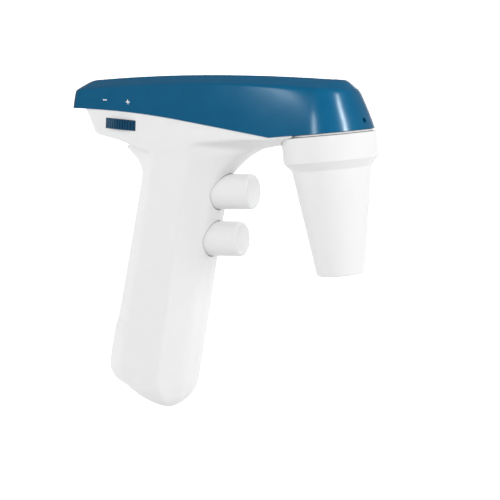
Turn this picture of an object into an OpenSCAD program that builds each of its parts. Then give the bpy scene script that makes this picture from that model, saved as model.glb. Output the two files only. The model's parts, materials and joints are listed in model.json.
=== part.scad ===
// Motorized pipette controller: a pistol-grip pump that draws and dispenses through a pipette.
// Frame: millimetres, +Z up, +X toward the nose, +Y to the left of the user's hand.
// The origin is the centre of the pipette mouth, on the axis of the nose cone.

/* [Nose cone] */
// Length of the adapter housing, mouth to collar top
cone_h = 69.5; // [66:0.5:72]
// Radius of the adapter housing's collar
collar_r = 23.5; // [23.2:0.1:24]
// Height of the collar band
collar_h = 12.4; // [11:0.2:13]
// Radius of the cone just under the collar
cone_top_r = 19.8; // [19.6:0.1:20.4]
// Radius of the cone at its mouth
cone_tip_r = 11.9; // [11.7:0.1:12.4]
// Radius of the socket that grips a pipette
socket_r = 3.8; // [3.4:0.1:4.2]
// Length of the socket wall that grips a pipette
socket_length = 15; // [12:0.5:15]

/* [Head] */
// Wall thickness of the shells and the cover
wall = 2; // [1.8:0.1:2.4]
// Gap between two outer parts that meet at a visible line
reveal = 0.3; // [0.2:0.05:0.4]
// Radius of the cover's round nose
nose_r = 23; // [22.8:0.1:23.2]
// Distance from the nose axis back to the end of the cover's tail
tail_x = 139.5; // [138:0.5:140.5]
// Half of the head's width at the tail
tail_half_width = 19; // [18.6:0.1:19.4]
// Height of the cover's shoulder below its crown
shoulder_drop = 5; // [4.5:0.1:5.5]

/* [Grip] */
// Half of the grip's width
grip_half_width = 17.5; // [17.2:0.1:18]
// Sideways lean of the grip from the vertical, in degrees
grip_lean = 16.8; // [16.5:0.1:17]

/* [Buttons] */
// Radius of both buttons
button_r = 9.1; // [8.8:0.1:9.2]
// How far a button travels
button_travel = 4.5; // [3.5:0.1:4.5]
// Downward tilt of the button axes, in degrees
button_tilt = 3; // [2:0.5:4]

/* [Speed wheel] */
// Radius of the speed wheel over its ribs
wheel_r = 20.7; // [20.5:0.1:20.8]
// Thickness of the speed wheel
wheel_h = 5; // [4.6:0.1:5.2]
// Number of grip ribs on the wheel
wheel_ribs = 84; // [60:4:96]

/* [Drive] */
// Radius of the motor can
motor_r = 12.1; // [11.8:0.1:12.2]
// Length of the motor can
motor_h = 30; // [28:0.5:30]
// Throw of the pump's eccentric
pump_throw = 1.2; // [0.8:0.1:1.4]

/* [Hidden] */
$fn = 64;
eps = 0.02;

cover_blue = [0.05, 0.33, 0.47];
shell_white = [0.93, 0.94, 0.95];
steel = [0.72, 0.73, 0.75];
board_green = [0.07, 0.35, 0.2];
silicone = [0.9, 0.9, 0.88];
dark = [0.13, 0.13, 0.14];
copper = [0.75, 0.45, 0.25];

// ---- small list helpers -------------------------------------------------

function last(v) = v[len(v) - 1];
function unit(v) = v / norm(v);
function mirrored_y(v) = [for (i = [len(v) - 2 : -1 : 1]) [v[i][0], -v[i][1]]];
function at_height(v, z) = [for (p = v) [p[0], p[1], z]];

// An arc of n + 1 points that rounds the corner at b with radius r
function corner(a, b, c, r, n) =
  let (
    u = unit(a - b),
    v = unit(c - b),
    half = acos(u * v) / 2,
    reach = r / tan(half),
    centre = b + unit(u + v) * r / sin(half),
    start = b + u * reach - centre,
    end = b + v * reach - centre,
    sweep = acos(unit(start) * unit(end))
  )
  [for (i = [0 : n])
    centre + (start * sin(sweep * (1 - i / n)) + end * sin(sweep * i / n)) / sin(sweep)];

// A closed skin through rings of equal length, each symmetric about the XZ plane. Point 0 of
// a ring lies on that plane, so the ends close with strips between mirrored points.
module skin(rings) {
  n = len(rings[0]);
  points = [for (ring = rings) each ring];
  top = (len(rings) - 1) * n;
  sides = [for (k = [0 : len(rings) - 2]) for (i = [0 : n - 1])
    let (j = (i + 1) % n)
    for (f = [[k * n + i, (k + 1) * n + j, k * n + j], [k * n + i, (k + 1) * n + i, (k + 1) * n + j]]) f];
  floor_strip = [for (i = [0 : n / 2 - 1])
    let (a = i, b = i + 1, c = n - i - 1, d = (n - i) % n)
    for (f = [[a, b, c], [a, c, d]]) if (f[0] != f[2] && f[1] != f[2]) f];
  roof_strip = [for (f = floor_strip) [top + f[0], top + f[2], top + f[1]]];
  polyhedron(points, concat(floor_strip, sides, roof_strip));
}

// ---- routes for hoses and leads ----------------------------------------

// A smooth curve through the points p, with n steps between neighbours
function smooth(p, n) = concat(
  [for (i = [0 : len(p) - 2]) for (k = [0 : n - 1])
    let (
      t = k / n,
      p0 = p[max(i - 1, 0)],
      p1 = p[i],
      p2 = p[i + 1],
      p3 = p[min(i + 2, len(p) - 1)]
    )
    0.5 * (2 * p1 + (p2 - p0) * t + (2 * p0 - 5 * p1 + 4 * p2 - p3) * t * t
      + (3 * p1 - p0 - 3 * p2 + p3) * t * t * t)],
  [last(p)]);

function heading(p, i) = unit(p[min(i + 1, len(p) - 1)] - p[max(i - 1, 0)]);

// Side vectors carried along the route without twist
function carry(p, i, side) =
  i >= len(p) ? [] :
  let (h = heading(p, i), s = unit(side - h * (side * h)))
  concat([s], carry(p, i + 1, s));

function tube_ring(p, i, side, r, sides) =
  let (h = heading(p, i), up = cross(h, side))
  [for (k = [0 : sides - 1]) p[i] + r * (side * cos(360 * k / sides) + up * sin(360 * k / sides))];

// A hose of outer radius r and bore b, or a solid lead when b is 0
module tube(route, r, b, side, sides = 8, steps = 4) {
  p = smooth(route, steps);
  s = carry(p, 0, side);
  n = len(p);
  outer = [for (i = [0 : n - 1]) each tube_ring(p, i, s[i], r, sides)];
  if (b > 0) {
    inner = [for (i = [0 : n - 1]) each tube_ring(p, i, s[i], b, sides)];
    m = n * sides;
    polyhedron(concat(outer, inner), [
      for (i = [0 : n - 2]) for (k = [0 : sides - 1])
        let (q = (k + 1) % sides, a = i * sides, c = (i + 1) * sides)
        for (f = [[a + k, c + k, c + q], [a + k, c + q, a + q],
                  [m + a + k, m + c + q, m + c + k], [m + a + k, m + a + q, m + c + q]]) f,
      for (k = [0 : sides - 1])
        let (q = (k + 1) % sides, e = (n - 1) * sides)
        for (f = [[k, q, m + q], [k, m + q, m + k],
                  [e + k, m + e + q, e + q], [e + k, m + e + k, m + e + q]]) f
    ]);
  } else {
    polyhedron(outer, concat(
      [for (i = [0 : n - 2]) for (k = [0 : sides - 1])
        let (q = (k + 1) % sides, a = i * sides, c = (i + 1) * sides)
        for (f = [[a + k, c + k, c + q], [a + k, c + q, a + q]]) f],
      [[for (k = [0 : sides - 1]) k]],
      [[for (k = [sides - 1 : -1 : 0]) (n - 1) * sides + k]]));
  }
}

// ---- outer form: side lines of the head --------------------------------

nose_edge_z = cone_h + 1.3;
edge_start_x = -22.5;

// Lower edge of the cover: level over the nose, then rising toward the tail
function edge_z(x) =
  max(nose_edge_z, nose_edge_z + 0.25 * (edge_start_x - x) - 0.00108 * pow(max(0, -72 - x), 2));
function crown_z(x) = 108.5 - 0.0533 * (x + 126.6) - 0.00056 * (x + 126.6) * (x + 62.8);
function half_width(x) = tail_half_width + (nose_r - tail_half_width) * pow(max(0, x + 130) / 130, 2);

// Lower edge of the head's side walls and the middle line of its underside
side_line = [[-134, 91], [-127, 82], [-124, 80.3], [-113, 76.7], [-94, 69.3], [-80, 69], [-63, 71.4],
             [-39, 71.2], [-24, 70], [30, 70]];
belly_line = [[-134, 90], [-127, 80.5], [-124, 79], [-113, 75.5], [-94, 66], [-60, 64], [-45, 64.4],
              [-24, 66], [30, 66]];

// ---- outer form: plan outline of the head ------------------------------

nose_steps = 12;
side_steps = 10;
tail_steps = 5;
tail_corner = 5;
tail_bow = 1.6;

// Half of the plan outline, from the nose tip round to the middle of the tail. inset moves
// it inward, front and back are the nose radius and the tail position.
function half_outline(front, back, inset) =
  let (
    w = half_width(-back) - inset,
    corner_x = -back + tail_corner,
    bow_at = w - tail_corner
  )
  concat(
    [for (i = [0 : nose_steps - 1]) let (a = 90 * i / nose_steps) [front * cos(a), front * sin(a)]],
    [for (i = [0 : side_steps - 1]) let (x = corner_x * i / side_steps)
      [x, half_width(x) - inset + (front - nose_r + inset) * pow(1 + x / 60, 2) * (x > -60 ? 1 : 0)]],
    [for (i = [0 : tail_steps]) let (a = 90 + 90 * i / tail_steps)
      [corner_x + tail_corner * cos(a), bow_at + tail_corner * sin(a)]],
    [[-back - 0.75 * tail_bow, bow_at / 2], [-back - tail_bow, 0]]);

function full_outline(front, back, inset) =
  let (h = half_outline(front, back, inset)) concat(h, mirrored_y(h));

// A ring of the head: the outline at heights given by weights on the four side lines, with
// its width scaled
function head_ring(front, back, inset, widen, z_of) =
  [for (i = [0 : len(full_outline(front, back, inset)) - 1])
    let (p = full_outline(front, back, inset)[i]) [p[0], p[1] * widen, z_of(p[0])]];

// Outer or inner form of the cover; t is the depth below its surface
module cover_form(t) {
  low = function (x) edge_z(x) - (t > 0 ? 1 : 0);
  mid = function (x) (edge_z(x) + crown_z(x) - shoulder_drop) / 2;
  shoulder = function (x) crown_z(x) - shoulder_drop - t;
  round_off = function (x) crown_z(x) - 3.9 - t;
  plateau = function (x) crown_z(x) - 0.8 - t;
  roof = function (x) crown_z(x) - 0.1 - t;
  ridge = function (x) crown_z(x) + 0.2 - t;
  skin([
    head_ring(nose_r - t, tail_x - t, t, 1, low),
    head_ring(nose_r - 2.6 - t, tail_x - 0.4 - t, t, 1.005, mid),
    head_ring(nose_r - 6.2 - t, tail_x - 2.2 - t, t, 0.985, shoulder),
    head_ring(nose_r - 7.2 - t, tail_x - 3.2 - t, t + 0.6, 0.965, round_off),
    head_ring(nose_r - 10.6 - t, tail_x - 7.5 - t, t + 2, 0.79, plateau),
    head_ring(nose_r - 12.2 - t, tail_x - 9.5 - t, t + 2, 0.72, roof),
    head_ring(nose_r - 15.5, tail_x - 16, t + 2, 0.3, ridge)
  ]);
}

// Outer or inner form of the white body under the cover
module tub_form(t) {
  top = function (x) edge_z(x) + (t > 0 ? 2 : -reveal);
  side = function (x) lookup(x, side_line) + t * 0.7;
  chine = function (x) lookup(x, side_line) * 0.8 + lookup(x, belly_line) * 0.2 + t * 0.9;
  belly = function (x) lookup(x, belly_line) + t;
  skin([
    head_ring(nose_r - 0.6 - t, 127 - t, t + 1.6, 0.28, belly),
    head_ring(nose_r - 0.6 - t, 127.4 - t, t + 1.2, 0.9, chine),
    head_ring(nose_r - 0.6 - t, 127.8 - t, t + 0.5, 1, side),
    head_ring(nose_r - 0.6 - t, 133.5 - t, t + 0.4, 1, top)
  ]);
}

// ---- outer form: the grip ----------------------------------------------

// Front and back lines of the grip on the symmetry plane, and its half width, by height.
// Between the flared neck and the rounded foot both lines are straight.
function front_slope(z) = -75.1 + 0.2825 * z;
function back_slope(z) = -124.5 + 0.322 * z;
front_flare = [[44, 0], [50, 1], [54, 3.2], [58, 6.8], [62, 12], [65, 18], [76, 18]];
back_flare = [[54, 0], [58, 0.6], [62, 2.6], [66, 6], [70, 11], [73, 14.5], [76, 18]];
neck_widen = [[56, 0], [62, 0.3], [67, 0.9], [71, 1.6]];
front_foot = [[-69.2, 8], [-68.4, 7.2], [-66.8, 5], [-64.5, 2.8], [-61.5, 1.2], [-56, 0.3], [-50, 0]];
back_foot = [[-69.2, 39.6], [-68.4, 38.5], [-66.8, 34.5], [-64.5, 29], [-62, 22.5], [-59.5, 17.5],
             [-57, 13], [-54, 8.4], [-51, 4.4], [-48, 1.8], [-45, 0.4], [-41, 0]];
foot_width = [[-69.2, 5.4], [-68.4, 7.5], [-66.8, 10.8], [-64.5, 13.4], [-62, 15], [-59.5, 16], [-57, 16.8],
              [-54, 17.2], [-48, 17.5]];

function front_x(z) = front_slope(z) + lookup(z, front_flare) - lookup(z, front_foot);
function back_x(z) = back_slope(z) - lookup(z, back_flare) + lookup(z, back_foot);
function grip_width(z) = lookup(z, foot_width) * grip_half_width / 17.5 + lookup(z, neck_widen);

// One level section: a rounded front, a facet to the flat side, and a rounded back
function grip_section(z, t) =
  let (
    f = front_x(z) - t,
    b = back_x(z) + t,
    w = grip_width(z) - t,
    depth = f - b,
    scale_w = w / 17.5,
    front_facet = min(14, 0.3 * depth) + lookup(z, front_flare),
    back_facet = min(12, 0.26 * depth) + lookup(z, back_flare),
    nose = [f, 0],
    lip = [f - min(1.3, 0.05 * depth), 9 * scale_w],
    crease_front = [f - front_facet, w],
    crease_back = [b + back_facet, w],
    heel = [b + min(0.8, 0.03 * depth), 8.5 * scale_w],
    tail = [b, 0],
    r = max(1.2, min(6, 0.12 * depth)),
    half = concat(
      [nose],
      corner(nose, lip, crease_front, r, 4),
      corner(lip, crease_front, crease_back, 0.6 * r, 4),
      corner(crease_front, crease_back, heel, 0.6 * r, 4),
      corner(crease_back, heel, tail, r, 4),
      [tail])
  )
  at_height(concat(half, mirrored_y(half)), z);

grip_levels = [-69.2, -68.4, -66.8, -64.5, -62, -59.5, -57, -54, -51, -48, -45, -41, 44, 50, 54, 58, 62, 66,
               70, 73];
grip_inner_levels = [-65.5, -63, -59.5, -56, -52, -48, -45, -41, 44, 54, 58, 62, 66, 70, 75];

module grip_form(t) {
  if (t > 0) {
    skin([for (z = grip_inner_levels) grip_section(z, t)]);
  } else {
    skin([for (z = grip_levels) grip_section(z, t)]);
  }
}

// ---- places of the parts inside ----------------------------------------

button_x = [-44.5, -53.3];
button_z = [43.7, 19.6];
button_length = [27, 25.2];
button_count = 2;
button_gap = 0.45;
flange_r = 10.6;
flange_h = 1.6;
stem_r = 1.5;
stem_clear = 0.05;
block_depth = 12;
plate_h = 1.5;
block_half_w = 11;
block_half_h = 8;

function block_face(i) = -(button_length[i] + flange_h + button_travel + 0.4);
function stem_end(i) = block_face(i) - block_depth - plate_h - 1.5;
function switch_tip(i) = stem_end(i) - button_travel - 0.3;

// Local frame of a button: +Z points out of the grip, z = 0 at the front rim
module at_button(i) {
  translate([button_x[i], 0, button_z[i]]) rotate([0, 90 + button_tilt, 0]) children();
}

// Place in the XZ view of a point up above a button's axis and deep along it
function beside_button(i, up, deep) = [
  button_x[i] + deep * cos(button_tilt) + up * sin(button_tilt),
  button_z[i] - deep * sin(button_tilt) + up * cos(button_tilt)
];

wheel_x = -108.5;
wheel_z = 84;
wheel_tilt = 9.5;
spindle_r = 3;
pivot_r = 1.5;

// Local frame of the speed wheel: +Z along its spindle, z = 0 at mid thickness
module at_wheel() {
  translate([wheel_x, 0, wheel_z]) rotate([0, wheel_tilt, 0]) children();
}

function beside_wheel(p) = [
  wheel_x + p[0] * cos(wheel_tilt) + p[2] * sin(wheel_tilt),
  p[1],
  wheel_z - p[0] * sin(wheel_tilt) + p[2] * cos(wheel_tilt)
];

motor_x = -52;
motor_z = 88.2;
pump_x = -40;
shaft_r = 1;

// Local frame along the motor: +Z toward the nose, z = 0 at the motor's front face
module at_motor() {
  translate([motor_x, 0, motor_z]) rotate([0, 90, 0]) children();
}

cell_r = 9.2;
cell_length = 65;
cell_x = -113.4;
cell_z = -19.5;
cradle_r = 10.6;

// Local frame of the cell: +Z up along the grip, through the middle of the cell
module at_cell() {
  translate([cell_x, 0, cell_z]) rotate([0, grip_lean, 0]) children();
}

// Case screws: places in the XZ view
screw_places = [[-60, 60.5], [-99.5, 61.5], [-90.5, 4], [-100.2, -28], [-106.5, -51.5]];
boss_r = 3.2;
screw_r = 1.1;
screw_head_r = 2.4;

module at_bosses() {
  for (p = screw_places) {
    translate([p[0], 0, p[1]]) rotate([-90, 0, 0]) children();
  }
}

// Lugs that tie the nose spigot to the shells
lug_x = -27.5;
lug_y = 10.5;
lug_z = 70.8;

// Door in the lower back of the grip, bounded by planes in the XZ view
door_top_z = -20.5;
door_top_x = -121;
door_low_z = -57.5;
door_gap = 0.35;
door_proud = 0.8;

module door_region(grow) {
  lean = tan(grip_lean);
  drop = door_top_z - door_low_z;
  rotate([90, 0, 0])
    linear_extrude(60, center = true)
      polygon([
        [-150, door_top_z + grow],
        [door_top_x + grow, door_top_z + grow],
        [door_top_x + grow - lean * (drop + 2 * grow), door_low_z - grow],
        [-150, door_low_z - grow]
      ]);
}

inlet_x = -109;
inlet_z = -67.2;
inlet_turn = 155;
inlet_r = 4.2;

// Local frame of the charging inlet: +Z points out of the foot
module at_inlet() {
  translate([inlet_x, 0, inlet_z]) rotate([0, -inlet_turn, 0]) children();
}

// Posts of the cover that hold the boards
board_post = [16, 13];
board_z = 12.2;
board_h = 1.6;
post_r = 2.6;
pilot_r = 0.9;
window_x = -21;
window_length = 12;
window_r = 2.5;
window_top = crown_z(window_x) + 0.35;
window_slope = atan2(crown_z(window_x - 1) - crown_z(window_x + 1), 2);
lamp_depth = 7.6;
lamp_post_y = 6.4;

// Local frame of the status window: z = 0 at its top face, which follows the crown
module at_window() {
  translate([window_x, 0, window_top]) rotate([0, window_slope, 0]) children();
}

module at_board_posts() {
  for (a = [-1, 1]) for (b = [-1, 1]) {
    translate([a * board_post[0], b * board_post[1], 0]) children();
  }
}

// Bar with round ends along X, standing on z = 0
module oblong(length, r, h) {
  for (a = [-1, 1]) {
    translate([a * (length / 2 - r), 0, 0]) cylinder(r = r, h = h, $fn = 48);
  }
  translate([-(length / 2 - r), -r, 0]) cube([length - 2 * r, 2 * r, h]);
}

// ---- the two shells ----------------------------------------------------

// Everything cut from both shells
module shell_cuts() {
  for (i = [0 : button_count - 1]) {
    at_button(i) translate([0, 0, -button_length[i] - 6]) cylinder(r = button_r + button_gap, h = 40);
  }
  at_wheel() translate([0, 0, -wheel_h / 2 - 0.6]) cylinder(r = wheel_r + 0.45, h = wheel_h + 1.2);
  translate([0, 0, -1]) cylinder(r = collar_r + reveal, h = 120, $fn = 96);
  at_inlet() translate([0, 0, -12]) cylinder(r = inlet_r + 0.1, h = 20, $fn = 48);
  door_region(door_gap);
}

module hollow_body() {
  difference() {
    union() {
      tub_form(0);
      grip_form(0);
    }
    tub_form(wall);
    grip_form(wall);
    shell_cuts();
  }
}

// One half; side is -1 for the right shell and 1 for the left
module shell_half(side) {
  intersection() {
    hollow_body();
    translate([-200, side > 0 ? 0 : -60, -100]) cube([260, 60, 240]);
  }
}

// Screw bosses and the post under a spigot lug. They stop inside the wall, whatever its slope.
module bosses(side) {
  intersection() {
    union() {
      at_bosses() translate([0, 0, side > 0 ? 0 : -18]) cylinder(r = boss_r, h = 18, $fn = 32);
      translate([lug_x, side * lug_y, 60]) cylinder(r = 2.4, h = lug_z - 60, $fn = 32);
    }
    union() {
      tub_form(1);
      grip_form(1);
    }
  }
}

module shell_with_bosses(side) {
  difference() {
    union() {
      shell_half(side);
      bosses(side);
    }
    translate([lug_x, side * lug_y, lug_z - 3.4]) cylinder(r = pilot_r, h = 4, $fn = 32);
  }
}

module handle_shell_right() {
  color(shell_white) difference() {
    shell_with_bosses(-1);
    at_bosses() translate([0, 0, -8]) cylinder(r = screw_r, h = 10, $fn = 32);
  }
}

module handle_shell_left() {
  color(shell_white) difference() {
    shell_with_bosses(1);
    at_bosses() {
      translate([0, 0, -1]) cylinder(r = screw_r + 0.2, h = 9, $fn = 32);
      translate([0, 0, 6]) cylinder(r = screw_head_r + 0.2, h = 30, $fn = 32);
    }
  }
}

module case_screws() {
  color(steel) at_bosses() {
    translate([0, 0, -7]) cylinder(r = screw_r, h = 13.5, $fn = 32);
    difference() {
      translate([0, 0, 6]) cylinder(r = screw_head_r, h = 2, $fn = 32);
      translate([0, 0, 7]) cylinder(r = 1.2, h = 3, $fn = 6);
    }
  }
}

module battery_door() {
  color(shell_white) intersection() {
    difference() {
      grip_form(-door_proud);
      grip_form(wall);
    }
    door_region(0);
  }
}

// ---- cover -------------------------------------------------------------

vent_z = 75;
vent_turn = -12;

module top_cover() {
  color(cover_blue) difference() {
    union() {
      difference() {
        cover_form(0);
        cover_form(wall);
      }
      intersection() {
        cover_form(1);
        union() {
          at_wheel() at_board_posts() translate([0, 0, board_z + board_h])
            cylinder(r = post_r, h = 30, $fn = 32);
          for (a = [-1, 1]) {
            at_window() translate([0, a * lamp_post_y, -lamp_depth]) cylinder(r = 1.7, h = 20, $fn = 32);
          }
        }
      }
    }
    at_wheel() at_board_posts() translate([0, 0, board_z]) cylinder(r = pilot_r, h = 7, $fn = 32);
    at_window() {
      translate([0, 0, -10]) oblong(window_length + 0.1, window_r + 0.05, 20);
      translate([0, 0, -12.4]) oblong(window_length + 3.1, window_r + 1.25, 10);
    }
    rotate([0, 0, vent_turn]) translate([15, 0, vent_z]) rotate([0, 90, 0])
      cylinder(r = 1.25, h = 20, $fn = 32);
  }
}

module status_window() {
  color([0.8, 0.9, 0.95]) at_window() {
    translate([0, 0, -2.5]) oblong(window_length, window_r, 2.5);
    translate([0, 0, -3.8]) oblong(window_length + 3, window_r + 1.2, 1.4);
  }
}

module lamp_board() {
  color(board_green) at_window() translate([-9, -8.4, -lamp_depth - 1.4]) cube([18, 16.8, 1.4]);
}

module status_lamp() {
  color([0.9, 0.95, 0.7]) for (a = [-1, 0, 1]) {
    at_window() translate([a * 4 - 1, -1, -lamp_depth]) cube([2, 2, 1]);
  }
}

// ---- speed control -----------------------------------------------------

rib_depth = 0.55;

module speed_wheel() {
  color(cover_blue) at_wheel() difference() {
    linear_extrude(wheel_h, center = true)
      polygon([for (i = [0 : wheel_ribs - 1]) for (k = [[-0.3, 0], [0.1, 0], [0.28, 1], [0.52, 1]])
        let (a = 360 * (i + k[0]) / wheel_ribs, r = wheel_r - rib_depth * k[1]) [r * cos(a), r * sin(a)]]);
    cylinder(r = spindle_r, h = 20, center = true);
    for (a = [-1, 1]) translate([0, 0, a * (wheel_h / 2 + 0.2)]) difference() {
      cylinder(r = 17.6, h = 3, center = true);
      cylinder(r = 6, h = 4, center = true);
    }
  }
}

module wheel_spindle() {
  color(steel) at_wheel() {
    translate([0, 0, -wheel_h / 2]) cylinder(r = spindle_r, h = wheel_h + 1);
    translate([0, 0, -wheel_h / 2 - 2.3]) cylinder(r = pivot_r, h = 2.4, $fn = 32);
    translate([0, 0, wheel_h / 2]) cylinder(r = 2, h = 6.5, $fn = 32);
  }
}

module wheel_bridge() {
  color(dark) at_wheel() difference() {
    union() {
      translate([-3.6, -16.2, -5.6]) cube([9.6, 32.4, 1.6]);
      translate([0, 0, -5.6]) cylinder(r = 3.6, h = 2.7);
    }
    translate([0, 0, -5.2]) cylinder(r = pivot_r + 0.05, h = 5, $fn = 32);
  }
}

module speed_potentiometer() {
  color(dark) at_wheel() difference() {
    translate([0, 0, 5]) cylinder(r = 6, h = board_z - 5);
    translate([0, 0, 2]) cylinder(r = 2.05, h = 8, $fn = 32);
  }
}

module control_board() {
  color(board_green) at_wheel() difference() {
    translate([-19, -15.4, board_z]) cube([38, 30.8, board_h]);
    at_board_posts() translate([0, 0, board_z - 1]) cylinder(r = pilot_r + 0.2, h = 4, $fn = 32);
  }
}

connector_y = [-7.8, -2.6, 2.6, 7.8];
connector_x = 14.4;
connector_size = [4.4, 4.4, 3.2];

module board_parts() {
  color(dark) at_wheel() translate([0, 0, board_z + board_h]) {
    translate([-13, -6, 0]) cube([9, 9, 1.4]);
    translate([-1, 3, 0]) cube([5, 6, 1.2]);
    translate([-9, 8.6, 0]) cylinder(r = 3, h = 4.4);
    translate([2, -6, 0]) cylinder(r = 2.6, h = 3);
    translate([-17.5, 4, 0]) cube([2.4, 3.6, 1]);
    for (y = connector_y) {
      translate([connector_x, y - connector_size[1] / 2, 0]) cube(connector_size);
    }
  }
}

module board_screws() {
  color(steel) at_wheel() at_board_posts() {
    translate([0, 0, board_z - 1.6]) cylinder(r = 1.9, h = 1.6, $fn = 32);
    translate([0, 0, board_z - 0.5]) cylinder(r = pilot_r, h = 7, $fn = 32);
  }
}

// ---- buttons and valves ------------------------------------------------

dish_depth = 1.3;
rim_round = 1.1;
dish_r = 7.7;

// A hollow button with a dished face, a retaining flange and a boss for the stem
module button(i) {
  flange_z = -button_length[i];
  dish_sphere = (dish_r * dish_r + dish_depth * dish_depth) / (2 * dish_depth);
  color(shell_white) at_button(i) rotate_extrude($fn = 96)
    polygon([
      [0, -8],
      for (k = [0 : 8]) let (r = dish_r * k / 8)
        [r, -dish_depth + dish_sphere - sqrt(dish_sphere * dish_sphere - r * r) - 0.15],
      for (k = [0 : 6]) let (a = 90 - 15 * k)
        [button_r - rim_round + rim_round * cos(a), -rim_round + rim_round * sin(a)],
      [button_r, flange_z],
      [flange_r, flange_z],
      [flange_r, flange_z - flange_h],
      [7.2, flange_z - flange_h],
      [7.2, -4.6],
      [3.2, -4.6],
      [3.2, flange_z + 3],
      [stem_r, flange_z + 3],
      [stem_r, -8]
    ]);
}

module aspirate_button() { button(0); }
module dispense_button() { button(1); }

module stem(i) {
  color(steel) at_button(i) {
    translate([0, 0, stem_end(i)]) cylinder(r = stem_r, h = -8 - stem_end(i), $fn = 48);
  }
}

module aspirate_stem() { stem(0); }
module dispense_stem() { stem(1); }

spring_r = 4.6;
spring_wire = 0.4;
spring_turns = 7;

module return_spring(i) {
  low = block_face(i) + spring_wire + 0.05;
  high = -4.6 - spring_wire - 0.05;
  steps = spring_turns * 14;
  color(steel) at_button(i)
    tube([for (k = [0 : steps]) let (a = 360 * spring_turns * k / steps)
      [spring_r * cos(a), spring_r * sin(a), low + (high - low) * k / steps]],
      spring_wire, 0, [1, 0, 0], 5, 1);
}

module aspirate_spring() { return_spring(0); }
module dispense_spring() { return_spring(1); }

seal_wire = 0.75;
seat_r = stem_r + stem_clear + 2 * seal_wire;
seat_depth = 2;

module stem_seal(i) {
  color(dark) at_button(i) translate([0, 0, block_face(i) - seat_depth + seal_wire])
    rotate_extrude() translate([stem_r + stem_clear + seal_wire, 0]) circle(r = seal_wire, $fn = 24);
}

module aspirate_seal() { stem_seal(0); }
module dispense_seal() { stem_seal(1); }

// Stepped side outline of a plate between two depths behind the block's front faces; the
// lower front face runs on up to the shoulder
function block_outline(near, far, shoulder = block_half_h) = [
  beside_button(0, block_half_h, block_face(0) - near),
  beside_button(0, -block_half_h, block_face(0) - near),
  beside_button(1, shoulder, block_face(1) - near),
  beside_button(1, -block_half_h, block_face(1) - near),
  beside_button(1, -block_half_h, block_face(1) - far),
  beside_button(1, block_half_h, block_face(1) - far),
  beside_button(0, -block_half_h, block_face(0) - far),
  beside_button(0, block_half_h, block_face(0) - far)
];

port_y = 5;
port_x = -83.5;
nose_port_x = -87.8;
port_top = 58;
barb_r = 1.6;
port_bore = 0.9;

module valve_block() {
  color([0.85, 0.86, 0.82]) difference() {
    union() {
      rotate([90, 0, 0]) linear_extrude(2 * block_half_w, center = true)
        polygon(block_outline(0, block_depth, flange_r + 0.6));
      for (p = [[port_x, port_y], [port_x, -port_y], [nose_port_x, 0]]) {
        translate([p[0], p[1], 50]) cylinder(r = barb_r, h = port_top - 50, $fn = 32);
      }
    }
    for (i = [0 : button_count - 1]) at_button(i) {
      translate([0, 0, block_face(i) - 30]) cylinder(r = stem_r + stem_clear, h = 40, $fn = 48);
      translate([0, 0, block_face(i) - seat_depth]) cylinder(r = seat_r, h = 10, $fn = 48);
    }
    for (y = [-port_y, port_y]) {
      translate([port_x, y, 40]) cylinder(r = port_bore, h = 30, $fn = 24);
    }
    translate([nose_port_x, 0, 20]) cylinder(r = port_bore, h = 50, $fn = 24);
  }
}

module valve_end_plate() {
  color(steel) difference() {
    rotate([90, 0, 0]) linear_extrude(2 * block_half_w, center = true)
      polygon(block_outline(block_depth + eps, block_depth + plate_h));
    for (i = [0 : button_count - 1]) at_button(i) {
      translate([0, 0, stem_end(i) - 5]) cylinder(r = stem_r + 0.35, h = 20, $fn = 48);
    }
  }
}

module micro_switch(i) {
  color(dark) at_button(i) {
    translate([-3, -3, switch_tip(i) - 4.2]) cube([6, 6, 3.2]);
    translate([0, 0, switch_tip(i) - 1.1]) cylinder(r = 1.2, h = 1.1, $fn = 32);
  }
}

module aspirate_switch() { micro_switch(0); }
module dispense_switch() { micro_switch(1); }

module switch_boards() {
  color(board_green) for (i = [0 : button_count - 1]) at_button(i) {
    translate([-6, -8, switch_tip(i) - 5.6]) cube([12, 16, 1.4]);
  }
}

// ---- motor and pump ----------------------------------------------------

ecc_r = 4;
ecc_z = 9;
ecc_h = 6;
ring_clear = 0.3;

can_wall = 1.2;
magnet_r = 9.2;
rotor_r = 8.6;
rotor_h = 18;
rotor_poles = 5;

module motor_can() {
  color(steel) at_motor() difference() {
    union() {
      translate([0, 0, -motor_h]) cylinder(r = motor_r, h = motor_h);
      translate([0, 0, -0.5]) cylinder(r = 3, h = 2);
      translate([0, 0, -motor_h - 1.2]) cylinder(r = 9.5, h = 1.3);
      for (a = [-1, 1]) translate([-1, a * 5 - 0.3, -motor_h - 3.6]) cube([2, 0.6, 2.6]);
    }
    translate([0, 0, -motor_h + 2]) cylinder(r = motor_r - can_wall, h = motor_h - 4);
    translate([0, 0, -motor_h + 0.6]) cylinder(r = shaft_r + 0.05, h = motor_h + 5, $fn = 32);
  }
}

module motor_magnets() {
  color(dark) at_motor() translate([0, 0, -motor_h + 4]) difference() {
    cylinder(r = motor_r - can_wall, h = 20);
    translate([0, 0, -1]) cylinder(r = magnet_r, h = 22);
    translate([-20, -2.5, -1]) cube([40, 5, 22]);
  }
}

module motor_rotor() {
  color(copper) at_motor() translate([0, 0, -motor_h + 5]) difference() {
    cylinder(r = rotor_r, h = rotor_h);
    translate([0, 0, -1]) cylinder(r = shaft_r, h = rotor_h + 2, $fn = 32);
    for (i = [0 : rotor_poles - 1]) rotate([0, 0, 360 * i / rotor_poles]) {
      translate([7.2, -0.8, -1]) cube([3, 1.6, rotor_h + 2]);
      translate([5.2, 0, -1]) cylinder(r = 2.2, h = rotor_h + 2, $fn = 32);
    }
  }
}

module motor_shaft() {
  color(steel) at_motor() translate([0, 0, -motor_h + 0.8])
    cylinder(r = shaft_r, h = motor_h - 0.8 + ecc_z + ecc_h, $fn = 32);
}

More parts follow.
